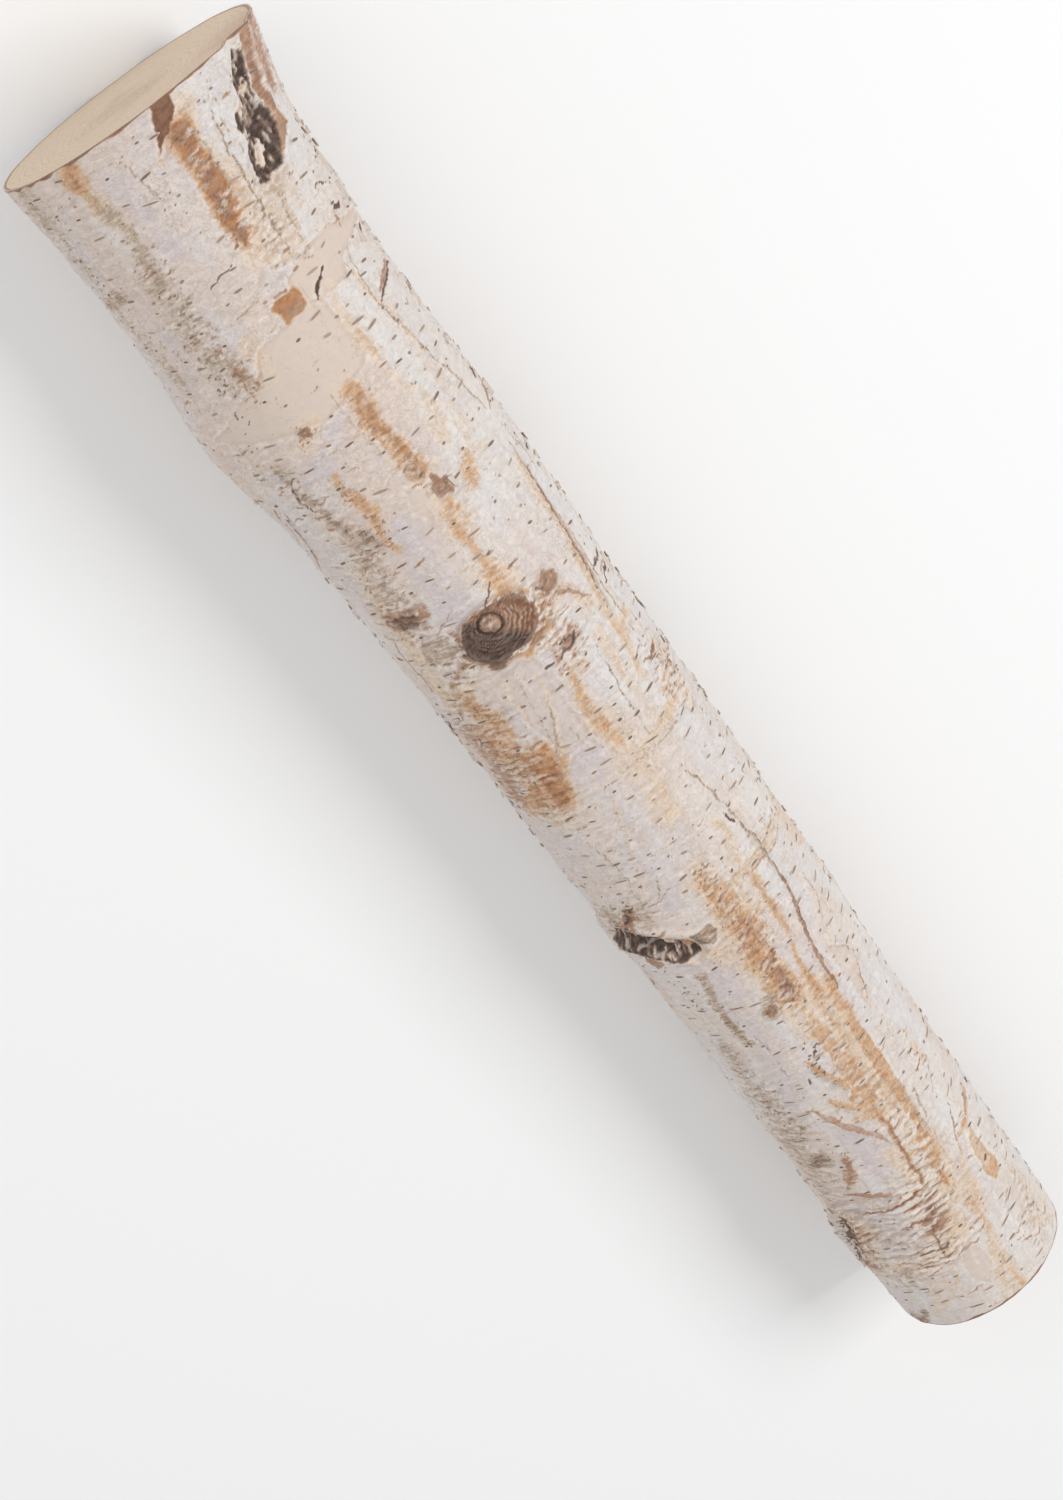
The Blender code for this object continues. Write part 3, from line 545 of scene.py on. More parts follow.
# Puckered zones: above and beside the eye, near the thin end, and out of the photograph's sight.
for name, marks in {
    "grime": (
        (5.0, 0.1, 0.22, (340, -12), (372, -8)), (7.0, 0.1, 0.3, (378, 40), (394, 34)),
        (7.0, 0.1, 0.16, (402, 16), (406, 52)), (8.0, 0.13, 0.6, (340, 66), (372, 58), (402, 72)),
        (5.0, 0.08, 0.45, (318, 52), (345, 42)), (4.5, 0.12, 0.65, (162, 30), (166, 42)),
        (5.0, 0.12, 0.55, (6, 74), (44, 84), (90, 82)), (6.0, 0.08, 0.3, (88, 42), (124, 38), (146, 46)),
        (5.0, 0.08, 0.4, (34, -28), (47, -22)), (5.0, 0.1, 0.5, (36, -70), (48, -80), (90, -82), (140, -76)),
        (4.0, 0.1, 0.45, (256, -56), (260, -14)), (7.0, 0.06, 0.25, (226, -8), (246, -4)),
        (6.0, 0.08, 0.3, (228, 34), (250, 40)), (5.0, 0.1, 0.4, (404, -56), (420, -42)),
        (9.0, 0.12, 0.55, (30, 130), (110, 150)), (10.0, 0.12, 0.55, (150, 210), (240, 225)),
    ),
    "red": (
        (8.0, 0.13, 0.26, (373, 6), (384, 16), (396, 26)), (9.0, 0.13, 0.55, (176, 48), (196, 46), (212, 44)),
        (4.5, 0.13, 0.65, (158, -16), (168, -12), (180, -12)), (3.0, 0.1, 0.6, (8, -9), (38, -10)),
        (3.4, 0.07, 0.5, (84, -8), (112, -8)), (7.0, 0.12, 0.55, (194, -60), (212, -56)),
        (3.4, 0.1, 0.6, (272, -2), (300, 0)), (9.0, 0.12, 0.55, (230, 150), (310, 140)),
        (8.0, 0.12, 0.55, (340, -130), (410, -110)),
    ),
}.items():
    for half_width, height, strength, *path in marks:
        wrinkles(name, half_width, height, strength, *path)
draw = random.Random(77)
for count, along, turn, turned, strength in (
    (14, (350, 381), (-20, 1), 11, 0.95), (30, (374, 406), (-8, 26), 15, 1.0),
    (16, (382, 408), (26, 60), 12, 0.6), (18, (400, 424), (-60, -30), 10, 0.8),
    (24, (174, 214), (28, 66), 13, 0.55), (24, (156, 172), (-22, 4), 8, 0.95),
    (12, (158, 170), (26, 46), 8, 0.8), (14, (167, 182), (-22, -4), 9, 0.9),
    (22, (192, 216), (-66, -48), 12, 0.8), (14, (8, 40), (-14, -5), 5, 0.7), (8, (32, 50), (-34, -14), 7, 0.5),
    (24, (248, 300), (-8, 6), 6, 0.55), (18, (318, 352), (44, 66), 10, 0.6), (16, (302, 350), (-10, 6), 6, 0.6),
    (18, (84, 150), (-14, -4), 5, 0.5), (26, (90, 150), (30, 58), 8, 0.55), (20, (20, 82), (26, 42), 6, 0.55),
    (12, (336, 354), (-50, -38), 8, 0.7), (14, (136, 152), (30, 56), 9, 0.7),
    (16, (255, 272), (30, 74), 9, 0.6), (30, (60, 120), (170, 190), 12, 0.7),
    (30, (330, 400), (-150, -135), 12, 0.7), (26, (230, 310), (140, 156), 10, 0.6),
):
    crinkles(draw, count, along, turn, turned, strength)

# Ridges that can be told apart in the photograph, then the brown cracks that cross them all.
for name, half_width, height, strength, *path in (
    ("pale", 0.60, 0.30, 1.00, (354.6, -19), (356.0, -11), (357.6, -3)),
    ("pale", 0.50, 0.30, 1.00, (360.8, -16), (361.2, -10), (360.4, -3)),
    ("pale", 0.60, 0.30, 1.00, (366.4, -18), (365.6, -11), (364.2, -5)),
    ("pale", 0.55, 0.30, 0.95, (368.2, -17), (368.8, -10), (367.6, -4)),
    ("pale", 0.60, 0.34, 1.00, (374.8, -8), (376.0, 6), (375.6, 18)),
    ("pale", 0.65, 0.34, 1.00, (378.2, -6), (380.4, 10), (380.0, 26), (377.4, 40)),
    ("pale", 0.60, 0.30, 1.00, (383.4, -4), (383.8, 8), (382.8, 22)),
    ("pale", 0.55, 0.30, 0.95, (386.0, 4), (386.4, 16), (385.6, 26)),
    ("pale", 0.55, 0.30, 0.95, (389.6, 6), (390.0, 18), (389.4, 26)),
    ("pale", 0.50, 0.26, 0.90, (400.8, 2), (401.6, 14), (401.0, 24)),
    ("pale", 0.50, 0.26, 0.90, (335.6, -14), (336.2, -6), (335.6, 0)),
    ("red", 0.44, -0.15, 0.68, (348, -1.5), (352, -3), (360, -2.6), (368, -0.5), (376, 0.8)),
    ("red", 0.42, -0.25, 0.90, (377.0, -2), (378.4, 14), (379.0, 28), (378.6, 44)),
    ("red", 0.38, -0.20, 0.85, (382.2, 4), (382.2, 12), (381.4, 20)),
    ("red", 0.40, -0.20, 0.85, (387.8, 4), (388.0, 16), (387.8, 28)),
    ("red", 0.34, -0.15, 0.80, (390, 11), (396, 14.5), (402.5, 15)),
):
    rows = rows_near(path, 3)
    d, _ = path_distance(path, rows)
    if name == "red":
        masks["pale"][rows] *= ramp(d, half_width, 1.6 * half_width)
    line(name, half_width, height, strength, *path)

# Hairlines and the edges of thin layers, strewn by a seeded rule: most run round the trunk.
draw = random.Random(12)
for _ in range(340):
    along, turn = draw.uniform(3, 427), draw.uniform(-180, 180)
    turned, reach = draw.uniform(3, 12), draw.uniform(-1.2, 1.2)
    middle = (along + reach / 2 + draw.uniform(-0.5, 0.5), turn + turned / 2)
    name = draw.choice(("grime", "grime", "ochre", "red"))
    line(name, draw.uniform(0.22, 0.40), draw.choice((-0.12, 0.14)), draw.uniform(0.3, 0.6),
         (along, turn), middle, (along + reach, turn + turned))
for _ in range(150):
    along, turn = draw.uniform(3, 400), draw.uniform(-180, 180)
    reach, lean = draw.uniform(5, 26), draw.uniform(-4, 4)
    middle = (along + reach / 2, turn + lean / 2 + draw.uniform(-1.2, 1.2))
    line(draw.choice(("grime", "ochre", "ochre")), draw.uniform(0.22, 0.42), draw.choice((-0.10, 0.14)),
         draw.uniform(0.25, 0.55), (along, turn), middle, (along + reach, turn + lean))
for _ in range(110):
    along, turn = draw.uniform(3, 400), draw.uniform(-180, 180)
    reach, width, lean = draw.uniform(5, 26), draw.uniform(4, 15), draw.uniform(-3, 3)
    sheet(draw.choice(("cream", "cream", "ochre")), draw.uniform(0.10, 0.30), draw.uniform(0.04, 0.10),
          (along, turn), (along + draw.uniform(-1, 1), turn + width),
          (along + reach, turn + width + lean), (along + reach + draw.uniform(-1, 1), turn + lean))

# The bark that the photograph doesn't show carries marks of the same kinds by a seeded rule.
draw = random.Random(31)
for _ in range(46):
    along, turn = draw.uniform(4, 426), draw.uniform(96, 262)
    reach, lean = draw.uniform(8, 46), draw.uniform(-5, 5)
    name = draw.choice(("rust", "ochre", "ochre", "grime", "grime"))
    half_width, ends = draw.uniform(1.6, 4.2), (along + reach, turn + lean)
    stain(name, half_width, draw.uniform(0.4, 0.8), (along, turn), ends)
    name = "red" if name == "rust" else "grime"
    grit(name, 1.2 * half_width, 0.65, draw.uniform(0.3, 1.1), (along, turn), ends)
    if draw.random() < 0.5:
        span = 30 * half_width / 16
        crinkles(draw, 10, (along, along + reach), (turn - span, turn + span), 7, 0.6)
for _ in range(60):
    along, turn = draw.uniform(4, 426), draw.uniform(-265, -88)
    if draw.random() < 0.45:
        ends = (along + draw.uniform(10, 34), turn + draw.uniform(-12, 12))
    else:
        ends = (along + draw.uniform(-2, 2), turn + draw.uniform(8, 26))
    middle = ((along + ends[0]) / 2 + draw.uniform(-1.5, 1.5), (turn + ends[1]) / 2 + draw.uniform(-1, 1))
    name = draw.choice(("red", "grime", "ochre", "dark"))
    height = -0.2 if name == "dark" else 0.2
    line(name, draw.uniform(0.3, 0.6), height, draw.uniform(0.6, 0.9), (along, turn), middle, ends)
for _ in range(7):
    along, turn = draw.uniform(20, 400), draw.uniform(110, 250)
    corners = []
    for k in range(9):
        angle, size = 2 * math.pi * k / 9, draw.uniform(0.55, 1.0)
        corners.append((along + 13 * size * math.cos(angle), turn + 17 * size * math.sin(angle)))
    sheet("cream", 0.8, 0.2, *corners)

# Radius of the formula that the solid has too.
radius = GRID_GIRTH.copy()
for place_along, place_turn, half_length, half_width, top in SWELLINGS:
    arc = arc_from(T, place_turn, GRID_GIRTH)
    radius += top * np.exp(-(((S - place_along) / half_length) ** 2) - (arc / half_width) ** 2)
scar_bed = np.zeros(S.shape)
for (path, half_width, depth, lip), charred in zip(SCARS, (0.0, 0.0, 0.6, 0.9, 0.8)):
    rows = rows_near(path, 5 * half_width)
    share, _ = path_distance(path, rows, S, T)
    share /= half_width
    radius[rows] += lip * np.exp(-(((share - 1.7) / 0.6) ** 2)) - depth * np.exp(-(share**2))
    share, _ = path_distance(path, rows)
    share = share / half_width + 0.22 * crumbs[rows] + 0.3 * swell[rows]
    scar_bed[rows] = np.maximum(scar_bed[rows], charred * (1 - ramp(share, 0.9, 1.25)))
radius += 0.9 * noise_field(60, 60) + 0.35 * noise_field(11, 11)
radius += 0.012 * GRID_GIRTH * np.cos(2 * np.radians(T - 35))

# The torn scars: grey and black fibres along the tear, with tan flecks and cream wood between.
scar_bed = np.maximum(scar_bed, masks["dark"] * (np.abs(T + 40) < 14) * (S < 33))
scar_bed = np.maximum(scar_bed, masks["dark"] * (np.abs(S - 265) < 9) * (np.abs(T - 50) < 28))
fibres = lumps(0.9, 4.0, 3.3, 2)
lay("dark", EVERY_ROW, scar_bed)
masks["dark"] *= 1 - scar_bed * 0.60 * ramp(fibres, 0.1, 1.3)
lay("grime", EVERY_ROW, scar_bed * 0.6 * ramp(fibres, 0.2, 1.4))
lay("pale", EVERY_ROW, scar_bed * 0.75 * ramp(fibres + 0.4 * crumbs, 1.3, 2.0))
relief += scar_bed * (0.16 * fibres + 0.10 * crumbs)
for name, strength, height, *outline in (
    ("cream", 0.95, 0.55, (21.5, -40), (24, -41), (26, -39), (28.4, -35), (28, -33), (25, -34), (22, -35)),
    ("ochre", 0.90, 0.30, (7.6, -47), (10, -48), (12.6, -46), (12.4, -42), (9, -41)),
    ("grime", 0.80, 0.15, (12.5, -44), (16, -43), (18.6, -38), (17, -34), (14, -34), (12.4, -38)),
    ("pale", 0.70, 0.25, (16.8, -33), (19.6, -34), (21, -31), (18, -30.6)),
    ("ochre", 0.80, 0.20, (3.6, -47), (5.2, -47), (5.4, -44), (4, -44)),
    ("pale", 0.60, 0.20, (13.6, -48), (15.4, -48), (16, -45.4), (14, -45)),
    ("cream", 0.80, 0.20, (9.6, -41), (12.6, -39), (15, -33), (13, -32), (10, -37)),
    ("pale", 0.60, 0.20, (260.4, 44), (262.6, 43), (263.4, 46), (261, 47.4)),
    ("ochre", 0.85, 0.30, (262.5, 34), (265, 33), (268, 37), (265, 40), (262, 40)),
    ("rust", 0.80, 0.20, (266, 27), (269, 26), (270, 31), (267, 33)),
    ("ochre", 0.70, 0.20, (269.4, 38), (271, 36), (271, 42), (268.6, 45)),
):
    rows = rows_near(outline, 3)
    d, _ = path_distance(outline + outline[:1], rows)
    core = strength * ramp(np.where(inside(outline, rows), d, -d) + 0.25 * crumbs[rows], -0.3, 0.5)
    for covered in ("dark", "grime", "red", "rust"):
        masks[covered][rows] *= 1 - core
    lay(name, rows, core)
    relief[rows] += height * core


def knot_rings(along, turn, half_length, half_width, stub_s, stub_a, stub):
    """0 on a knot's stub, growing through ovals that spread from it to 1 at the knot's rim."""
    rows = rows_near(((along, turn),), 1.6 * half_length)
    s = S[rows] - along + 0.35 * shift_s[rows]
    a = arc_from(T[rows], turn, GRID_GIRTH[rows]) + 0.35 * shift_a[rows]
    low, high = np.zeros(s.shape), np.full(s.shape, 1.6)
    for _ in range(14):
        middle = (low + high) / 2
        reach_s, reach_a = stub + (half_length - stub) * middle, stub + (half_width - stub) * middle
        centre_s, centre_a = stub_s * (1 - middle), stub_a * (1 - middle)
        within = np.hypot((s - centre_s) / reach_s, (a - centre_a) / reach_a) < 1
        high, low = np.where(within, middle, high), np.where(within, low, middle)
    from_stub = np.hypot(s - stub_s, a - stub_a) / stub
    return rows, (low + high) / 2, from_stub


# The eye: a dead branch grown over, its stub low in ridged and cracked rings of dark bark.
EYE_ALONG, EYE_TURN = 158.6, 6
rows, ring, from_stub = knot_rings(EYE_ALONG, EYE_TURN, 7.8, 10.4, -2.9, 1.3, 2.7)
wobble = ring + 0.045 * lumps(6, 6, 2.2)[rows] + 0.012 * lumps(1.4, 1.4, 6.6)[rows]
eye = 1 - ramp(wobble, 0.95, 1.02)
broken = ramp(lumps(3.0, 3.0, 19.0)[rows], -1.0, 0.8)
ridged = np.cos(2 * np.pi * (wobble * 7.5 + 0.30 * lumps(4, 4, 23.0)[rows])) * (0.25 + 0.75 * broken)
crater = 1.15 * np.exp(-(((ring - 0.97) / 0.12) ** 2)) + 0.50 * eye + 0.20 * ridged * eye
on_stub = 1 - ramp(from_stub, 0.88, 1.0)
moat = np.exp(-(((from_stub - 1.10) / 0.13) ** 2))
crater += on_stub * (0.75 + 0.14 * crumbs[rows]) - 0.65 * moat + 0.03 * crumbs[rows] * eye
relief[rows] = np.where(ring < 1.25, relief[rows] * ramp(ring, 0.9, 1.25), relief[rows]) + crater
for name in ("lilac", "rust", "ochre", "cream", "grime", "pale"):
    masks[name][rows] *= 1 - eye
arc = arc_from(T[rows], EYE_TURN, GRID_GIRTH[rows])
lower = ramp(arc + 0.75 * (S[rows] - 158) + 0.8 * lumps(4, 4, 29.0)[rows], -2.5, 2.5)
dusky = eye * np.clip(0.12 + 0.66 * lower - (0.12 + 0.20 * lower) * ridged, 0, 1)
masks["dark"][rows] = np.where(eye > 0.5, dusky, masks["dark"][rows])
masks["dark"][rows] *= 1 - 0.45 * on_stub
lay("dark", rows, 0.95 * moat * eye)
rim_crack = np.exp(-(((wobble - 0.985) / 0.035) ** 2)) * ramp(lumps(5, 5, 37.0)[rows], -1.4, 0.0)
lay("dark", rows, 0.60 * rim_crack)
lay("red", rows, (0.80 - 0.16 * ridged) * eye * (1 - 0.5 * on_stub))
fringe = np.exp(-(((wobble - 1.07) / 0.07) ** 2))
lay("red", rows, 0.60 * fringe * ramp(crumbs[rows], -1.2, 0.3))
lay("ochre", rows, 0.7 * np.exp(-(((wobble - 1.16) / 0.10) ** 2)))
lay("grime", rows, (0.95 - 0.25 * crumbs[rows]) * on_stub)
lay("pale", rows, 0.60 * on_stub * ramp(crumbs[rows], 0.7, 1.3))
spur = np.exp(-((np.hypot((S[rows] - 166.6) / 1.8, arc_from(T[rows], 17, GRID_GIRTH[rows]) / 2.4)) ** 2))
lay("dark", rows, 0.6 * spur)
lay("red", rows, spur)

# Small knots: the same growth, a few millimetres across, some brown and some burnt dark.
for along, turn, half_length, half_width, burnt, pointed in (
    (157.0, -25, 3.0, 3.4, 0.10, 0.1), (145.0, 42, 2.4, 5.0, 0.42, 0.1), (118.5, -13, 3.3, 2.9, 0.16, 0.4),
    (299.8, 13, 2.3, 2.6, 0.18, 0.1), (86.2, 17.5, 1.3, 1.7, 0.16, 0.1),
    (76.0, 152, 5.0, 6.2, 0.55, 0.1), (205.0, -140, 6.2, 7.4, 0.70, 0.1),
    (335.0, 126, 4.4, 5.6, 0.55, 0.1), (292.0, -108, 3.6, 4.4, 0.40, 0.1),
):
    rows, ring, from_stub = knot_rings(along, turn, half_length, half_width, 0.2, 0.2, 0.35 * half_length)
    direction = np.arctan2(arc_from(T[rows], turn, GRID_GIRTH[rows]), S[rows] - along)
    wobble = ring * (1 + pointed * np.cos(5 * direction))
    wobble += 0.15 * lumps(2.2, 2.2, along)[rows] + 0.07 * crumbs[rows]
    near = 1 - ramp(ring, 1.2, 1.5)
    body = (1 - ramp(wobble, 0.70, 1.15)) * near
    rim = np.exp(-(((wobble - 0.95) / 0.2) ** 2)) * near
    relief[rows] += 0.50 * rim - 0.1 * body + 0.06 * crumbs[rows] * body
    relief[rows] += 0.35 * (1 - ramp(from_stub, 0.8, 1.1))
    for name in ("rust", "ochre", "cream", "pale"):
        masks[name][rows] *= 1 - 0.8 * body
    lay("red", rows, (0.30 + 0.9 * burnt) * body)
    shaded = body * (burnt + 0.14 * np.cos(wobble * 13) + 0.10 * crumbs[rows])
    lay("dark", rows, np.clip(shaded, 0, 1))
    lay("dark", rows, (0.15 + 0.6 * burnt) * rim * ramp(crumbs[rows], 0.0, 1.0))
    lay("grime", rows, 0.75 * (1 - ramp(np.maximum(wobble, ring), 0.8, 1.4)))

# Fine relief everywhere: low folds round the trunk, seams along it, crumpled paper, and the
# ragged brown edge that the saw left.
smooth_bark = 1 - 0.8 * masks["cream"]
relief += smooth_bark * 0.20 * noise_field(26, 6, 1.0)
relief += smooth_bark * 0.045 * lumps(9, 2.2, 2.0)
relief += smooth_bark * 0.035 * lumps(2.2, 1.1, 3.0)
relief += smooth_bark * 0.035 * lumps(4, 42, 4.0)
relief += smooth_bark * 0.022 * folds
busy = np.clip(masks["rust"] + masks["grime"] + masks["red"] + masks["dark"] + 0.6 * masks["ochre"], 0, 1)
relief += busy * 0.05 * crumbs
SAWN_FADE = 2.2
to_end = np.minimum(S, LENGTH - S)
fade = ramp(to_end, 0.0, SAWN_FADE)
relief = relief * fade - 0.22 * (1 - fade) * (0.5 + noise_field(3, 3, 12.0))
radius += relief - 0.05
edge_reach = 0.30 + 0.30 * np.clip(lumps(5, 300, 47.0), -1.0, 2.2)
edge_mark = 1 - ramp(to_end, edge_reach, edge_reach + 0.5)
lay("red", EVERY_ROW, 0.85 * edge_mark)
lay("dark", EVERY_ROW, 0.45 * edge_mark * ramp(lumps(7, 300, 49.0), -0.2, 1.0))


def soften(field, sizes):
    for size in sizes:
        field = (field + np.roll(field, size, 1) + np.roll(field, -size, 1)) / 3
        field = (field + np.roll(field, size, 0) + np.roll(field, -size, 0)) / 3
    return field


soft = soften(relief, (1, 2))
busy = soften(busy, (2, 4, 6))
# Painted shade in creases: bark lying below its softened surroundings is darkened, more strongly where it is
# stained.
crease_shade = ramp(soft - relief, 0.015, 0.10) * (0.12 + 0.75 * busy)
# Pale marks, plus a painted highlight where bright bark lies above its softened surroundings.
covered = 1.4 * masks["dark"] + 0.9 * masks["red"] + 0.9 * masks["rust"] + 0.5 * masks["grime"]
bright_bark = 1 - np.clip(covered, 0, 1)
ridge_highlight = np.maximum(masks["pale"], 0.5 * bright_bark * ramp(relief - soft, 0.02, 0.12))
# Painted shade, partly the bark's own pink tone: the side facing 55 degrees towards +Y, turned from the key
# light, is made pinker and darker, less so towards the thin end, and noise breaks it up.
facing = np.cos(np.radians(T - 55))
pink_side_shade = ramp(facing, -0.3, 0.8) * (1 - 0.45 * ramp(S, 210, 330))
pink_side_shade = np.clip(pink_side_shade + 0.30 * lumps(14, 34, 53.0) + 0.10 * lumps(3, 40, 54.0), 0, 1)

angle = np.radians(T)
X = LENGTH / 2 - S
Y = curve_at(SIDEWAYS, S) + radius * np.sin(angle)
Z = np.maximum(curve_at(PITH_HEIGHT, S) + radius * np.cos(angle), 0.0)
skin = np.stack([X, Y, Z], -1) / 1000
skin[..., 1] = np.clip(skin[..., 1], cad_low.y, cad_high.y)
skin[..., 2] = np.minimum(skin[..., 2], cad_high.z)


def grid_normals(points):
    """Outward normals of the whole skin, so that its three lengths shade as one."""
    around = np.roll(points, -1, axis=1) - np.roll(points, 1, axis=1)
    normals = np.cross(np.gradient(points, axis=0), around)
    return normals / np.linalg.norm(normals, axis=-1, keepdims=True)


def sheet_mesh(name, points, closed=True):
    """A mesh of quads over a grid of points, closed round its columns."""
    rows, columns = points.shape[:2]
    index = np.arange(rows * columns).reshape(rows, columns)
    right = np.roll(index, -1, axis=1)
    if not closed:
        index, right = index[:, :-1], right[:, :-1]
    quads = np.stack([index[:-1], index[1:], right[1:], right[:-1]], -1).reshape(-1, 4)
    mesh = bpy.data.meshes.new(name)
    mesh.from_pydata(points.reshape(-1, 3).tolist(), [], quads.tolist())
    mesh.shade_smooth()
    return mesh


def put_attribute(mesh, name, kind, values):
    """Values that the mesh carries at its points, for the materials to read."""
    made = mesh.attributes.new(name, kind, "POINT")
    field = {"FLOAT": "value", "FLOAT_VECTOR": "vector", "FLOAT_COLOR": "color"}[kind]
    made.data.foreach_set(field, np.ascontiguousarray(values, np.float32).ravel())


def add_piece(name, data):
    """An object in the scene with this mesh, camera or light."""
    obj = bpy.data.objects.new(name, data)
    bpy.context.scene.collection.objects.link(obj)
    return obj


def feed(tree, node, inputs):
    """Sets or links a node's inputs by name or number. A plain colour is given without its alpha."""
    for key, value in dict(inputs).items():
        socket = node.inputs[key]
        if isinstance(value, bpy.types.NodeSocket):
            tree.links.new(value, socket)
        else:
            socket.default_value = (*value, 1) if socket.type == "RGBA" else value
    return node.outputs


def wire(tree, kind, inputs=(), output=0, **settings):
    """Adds a node, feeds it, and returns one of its outputs."""
    made = tree.nodes.new(kind)
    for key, value in settings.items():
        setattr(made, key, value)
    return feed(tree, made, inputs)[output]


def new_group(name, inputs, outputs, tree_kind="ShaderNodeTree"):
    """An empty node group with sockets of these kinds, and its input and output nodes."""
    group = bpy.data.node_groups.new(name, tree_kind)
    for side, sockets in (("INPUT", inputs), ("OUTPUT", outputs)):
        for socket, kind in sockets.items():
            group.interface.new_socket(socket, in_out=side, socket_type="NodeSocket" + kind)
    return group, group.nodes.new("NodeGroupInput").outputs, group.nodes.new("NodeGroupOutput").inputs


def use_group(tree, group, **inputs):
    made = tree.nodes.new("ShaderNodeGroup")
    made.node_tree = group
    return feed(tree, made, inputs)


def mix(tree, factor, first, second, blend="MIX"):
    made = tree.nodes.new("ShaderNodeMix")
    made.data_type, made.blend_type = "RGBA", blend
    return feed(tree, made, {0: factor, 6: first, 7: second})[2]


def math_node(tree, operation, *values):
    return wire(tree, "ShaderNodeMath", dict(enumerate(values)), operation=operation)


def times(tree, *values):
    return math_node(tree, "MULTIPLY", *values)


def vector_node(tree, operation, first, second=(0.0, 0.0, 0.0), output=0):
    return wire(tree, "ShaderNodeVectorMath", {0: first, 1: second}, output, operation=operation)


def noise_node(tree, place, scale, detail, roughness=0.5, output=0):
    values = {"Vector": place, "Scale": scale, "Detail": detail, "Roughness": roughness}
    return wire(tree, "ShaderNodeTexNoise", values, output)


def stepped(tree, value, low, high):
    """0 at low, 1 at high, smooth between, as a node."""
    values = {0: value, 1: low, 2: high, 3: 0.0, 4: 1.0}
    return wire(tree, "ShaderNodeMapRange", values, interpolation_type="SMOOTHSTEP")


COLOUR, VECTOR, FACTOR, ALPHA = 0, 1, 2, 3


def carried(tree, name, output=FACTOR):
    """A value that the mesh carries at each of its points."""
    return wire(tree, "ShaderNodeAttribute", output=output, attribute_name=name)


def channels(tree, name):
    """The three parts of a colour that the mesh carries."""
    parts = tree.nodes.new("ShaderNodeSeparateColor")
    tree.links.new(carried(tree, name, COLOUR), parts.inputs[0])
    return parts.outputs


def new_material(name, roughness):
    """A material, its node tree and the inputs of its shader."""
    material = bpy.data.materials.new(name)
    material.use_nodes = True
    surface = material.node_tree.nodes["Principled BSDF"].inputs
    surface["Roughness"].default_value = roughness
    return material, material.node_tree, surface


# What every bark surface shares: grain stretched round the trunk, crinkled hairlines round it
# and seams along it, specks, and clouds of a warmer white.
EFFECTS = ("Grain", "Fibres", "Seams", "Specks", "Clouds", "Warmth", "Patches")
grain_group, g_in, g_out = new_group("birch_grain", {"Place": "Vector"}, dict.fromkeys(EFFECTS, "Float"))
for socket, stretch, scale, detail in (
    ("Grain", (0.30, 0.30, 1.5), 1.0, 5.0),
    ("Clouds", (1.0, 1.0, 0.6), 0.06, 3.0),
    ("Warmth", (1.0, 1.0, 0.45), 0.11, 5.0),
    ("Patches", (1.0, 1.0, 0.8), 0.16, 3.0),
):
    spot = vector_node(grain_group, "MULTIPLY", g_in["Place"], stretch)
    grain_group.links.new(noise_node(grain_group, spot, scale, detail, 0.6), g_out[socket])
bent = noise_node(grain_group, g_in["Place"], 0.25, 3.0, output=1)
bent = vector_node(grain_group, "MULTIPLY", bent, (9.0, 9.0, 9.0))
bent = vector_node(grain_group, "ADD", g_in["Place"], bent)
for socket, stretch, width in (("Fibres", (0.22, 0.22, 0.62), 0.030), ("Seams", (0.42, 0.42, 0.07), 0.020)):
    spot = vector_node(grain_group, "MULTIPLY", bent, stretch)
    hair = noise_node(grain_group, spot, 1.3, 3.0, 0.55)
    hair = math_node(grain_group, "ABSOLUTE", math_node(grain_group, "SUBTRACT", hair, 0.5))
    grain_group.links.new(stepped(grain_group, hair, width, 0.0), g_out[socket])
specks = wire(grain_group, "ShaderNodeTexVoronoi", {"Vector": g_in["Place"], "Scale": 0.62, "Randomness": 1.0})
grain_group.links.new(stepped(grain_group, specks, 0.24, 0.12), g_out["Specks"])

# One stain: where its mask wins over noise it covers the colour below.
stain_group, g_in, g_out = new_group(
    "stain",
    {
        **dict.fromkeys(("Below", "Light", "Strong"), "Color"),
        **dict.fromkeys(("Mask", "Noise", "Break"), "Float"),
    },
    {"Color": "Color"},
)
broken = times(stain_group, math_node(stain_group, "SUBTRACT", g_in["Noise"], 0.5), g_in["Break"])
sure = stepped(stain_group, g_in["Mask"], 0.02, 0.30)
broken = math_node(stain_group, "MULTIPLY_ADD", broken, sure, g_in["Mask"])
tone = mix(stain_group, stepped(stain_group, broken, 0.40, 1.05), g_in["Light"], g_in["Strong"])
cover = stepped(stain_group, broken, 0.10, 0.48)
stain_group.links.new(mix(stain_group, cover, g_in["Below"], tone), g_out["Color"])

bark, tree, surface = new_material("birch_bark", 0.66)
surface["Specular IOR Level"].default_value = 0.30
rust, ochre, cream = channels(tree, "tints")
grime, dark, red = channels(tree, "stains")
pink_side_shading, crease_shading, ridge_highlighting = channels(tree, "shades")
place = carried(tree, "place", VECTOR)
shared = use_group(tree, grain_group, Place=place)
grain = shared["Grain"]
fine = noise_node(tree, place, 1.0, 5.0, 0.75)
flecks = math_node(tree, "ADD", times(tree, fine, 0.35), times(tree, grain, 0.65))
cool = mix(tree, stepped(tree, shared["Clouds"], 0.40, 0.60), (0.780, 0.728, 0.686), (0.758, 0.726, 0.714))
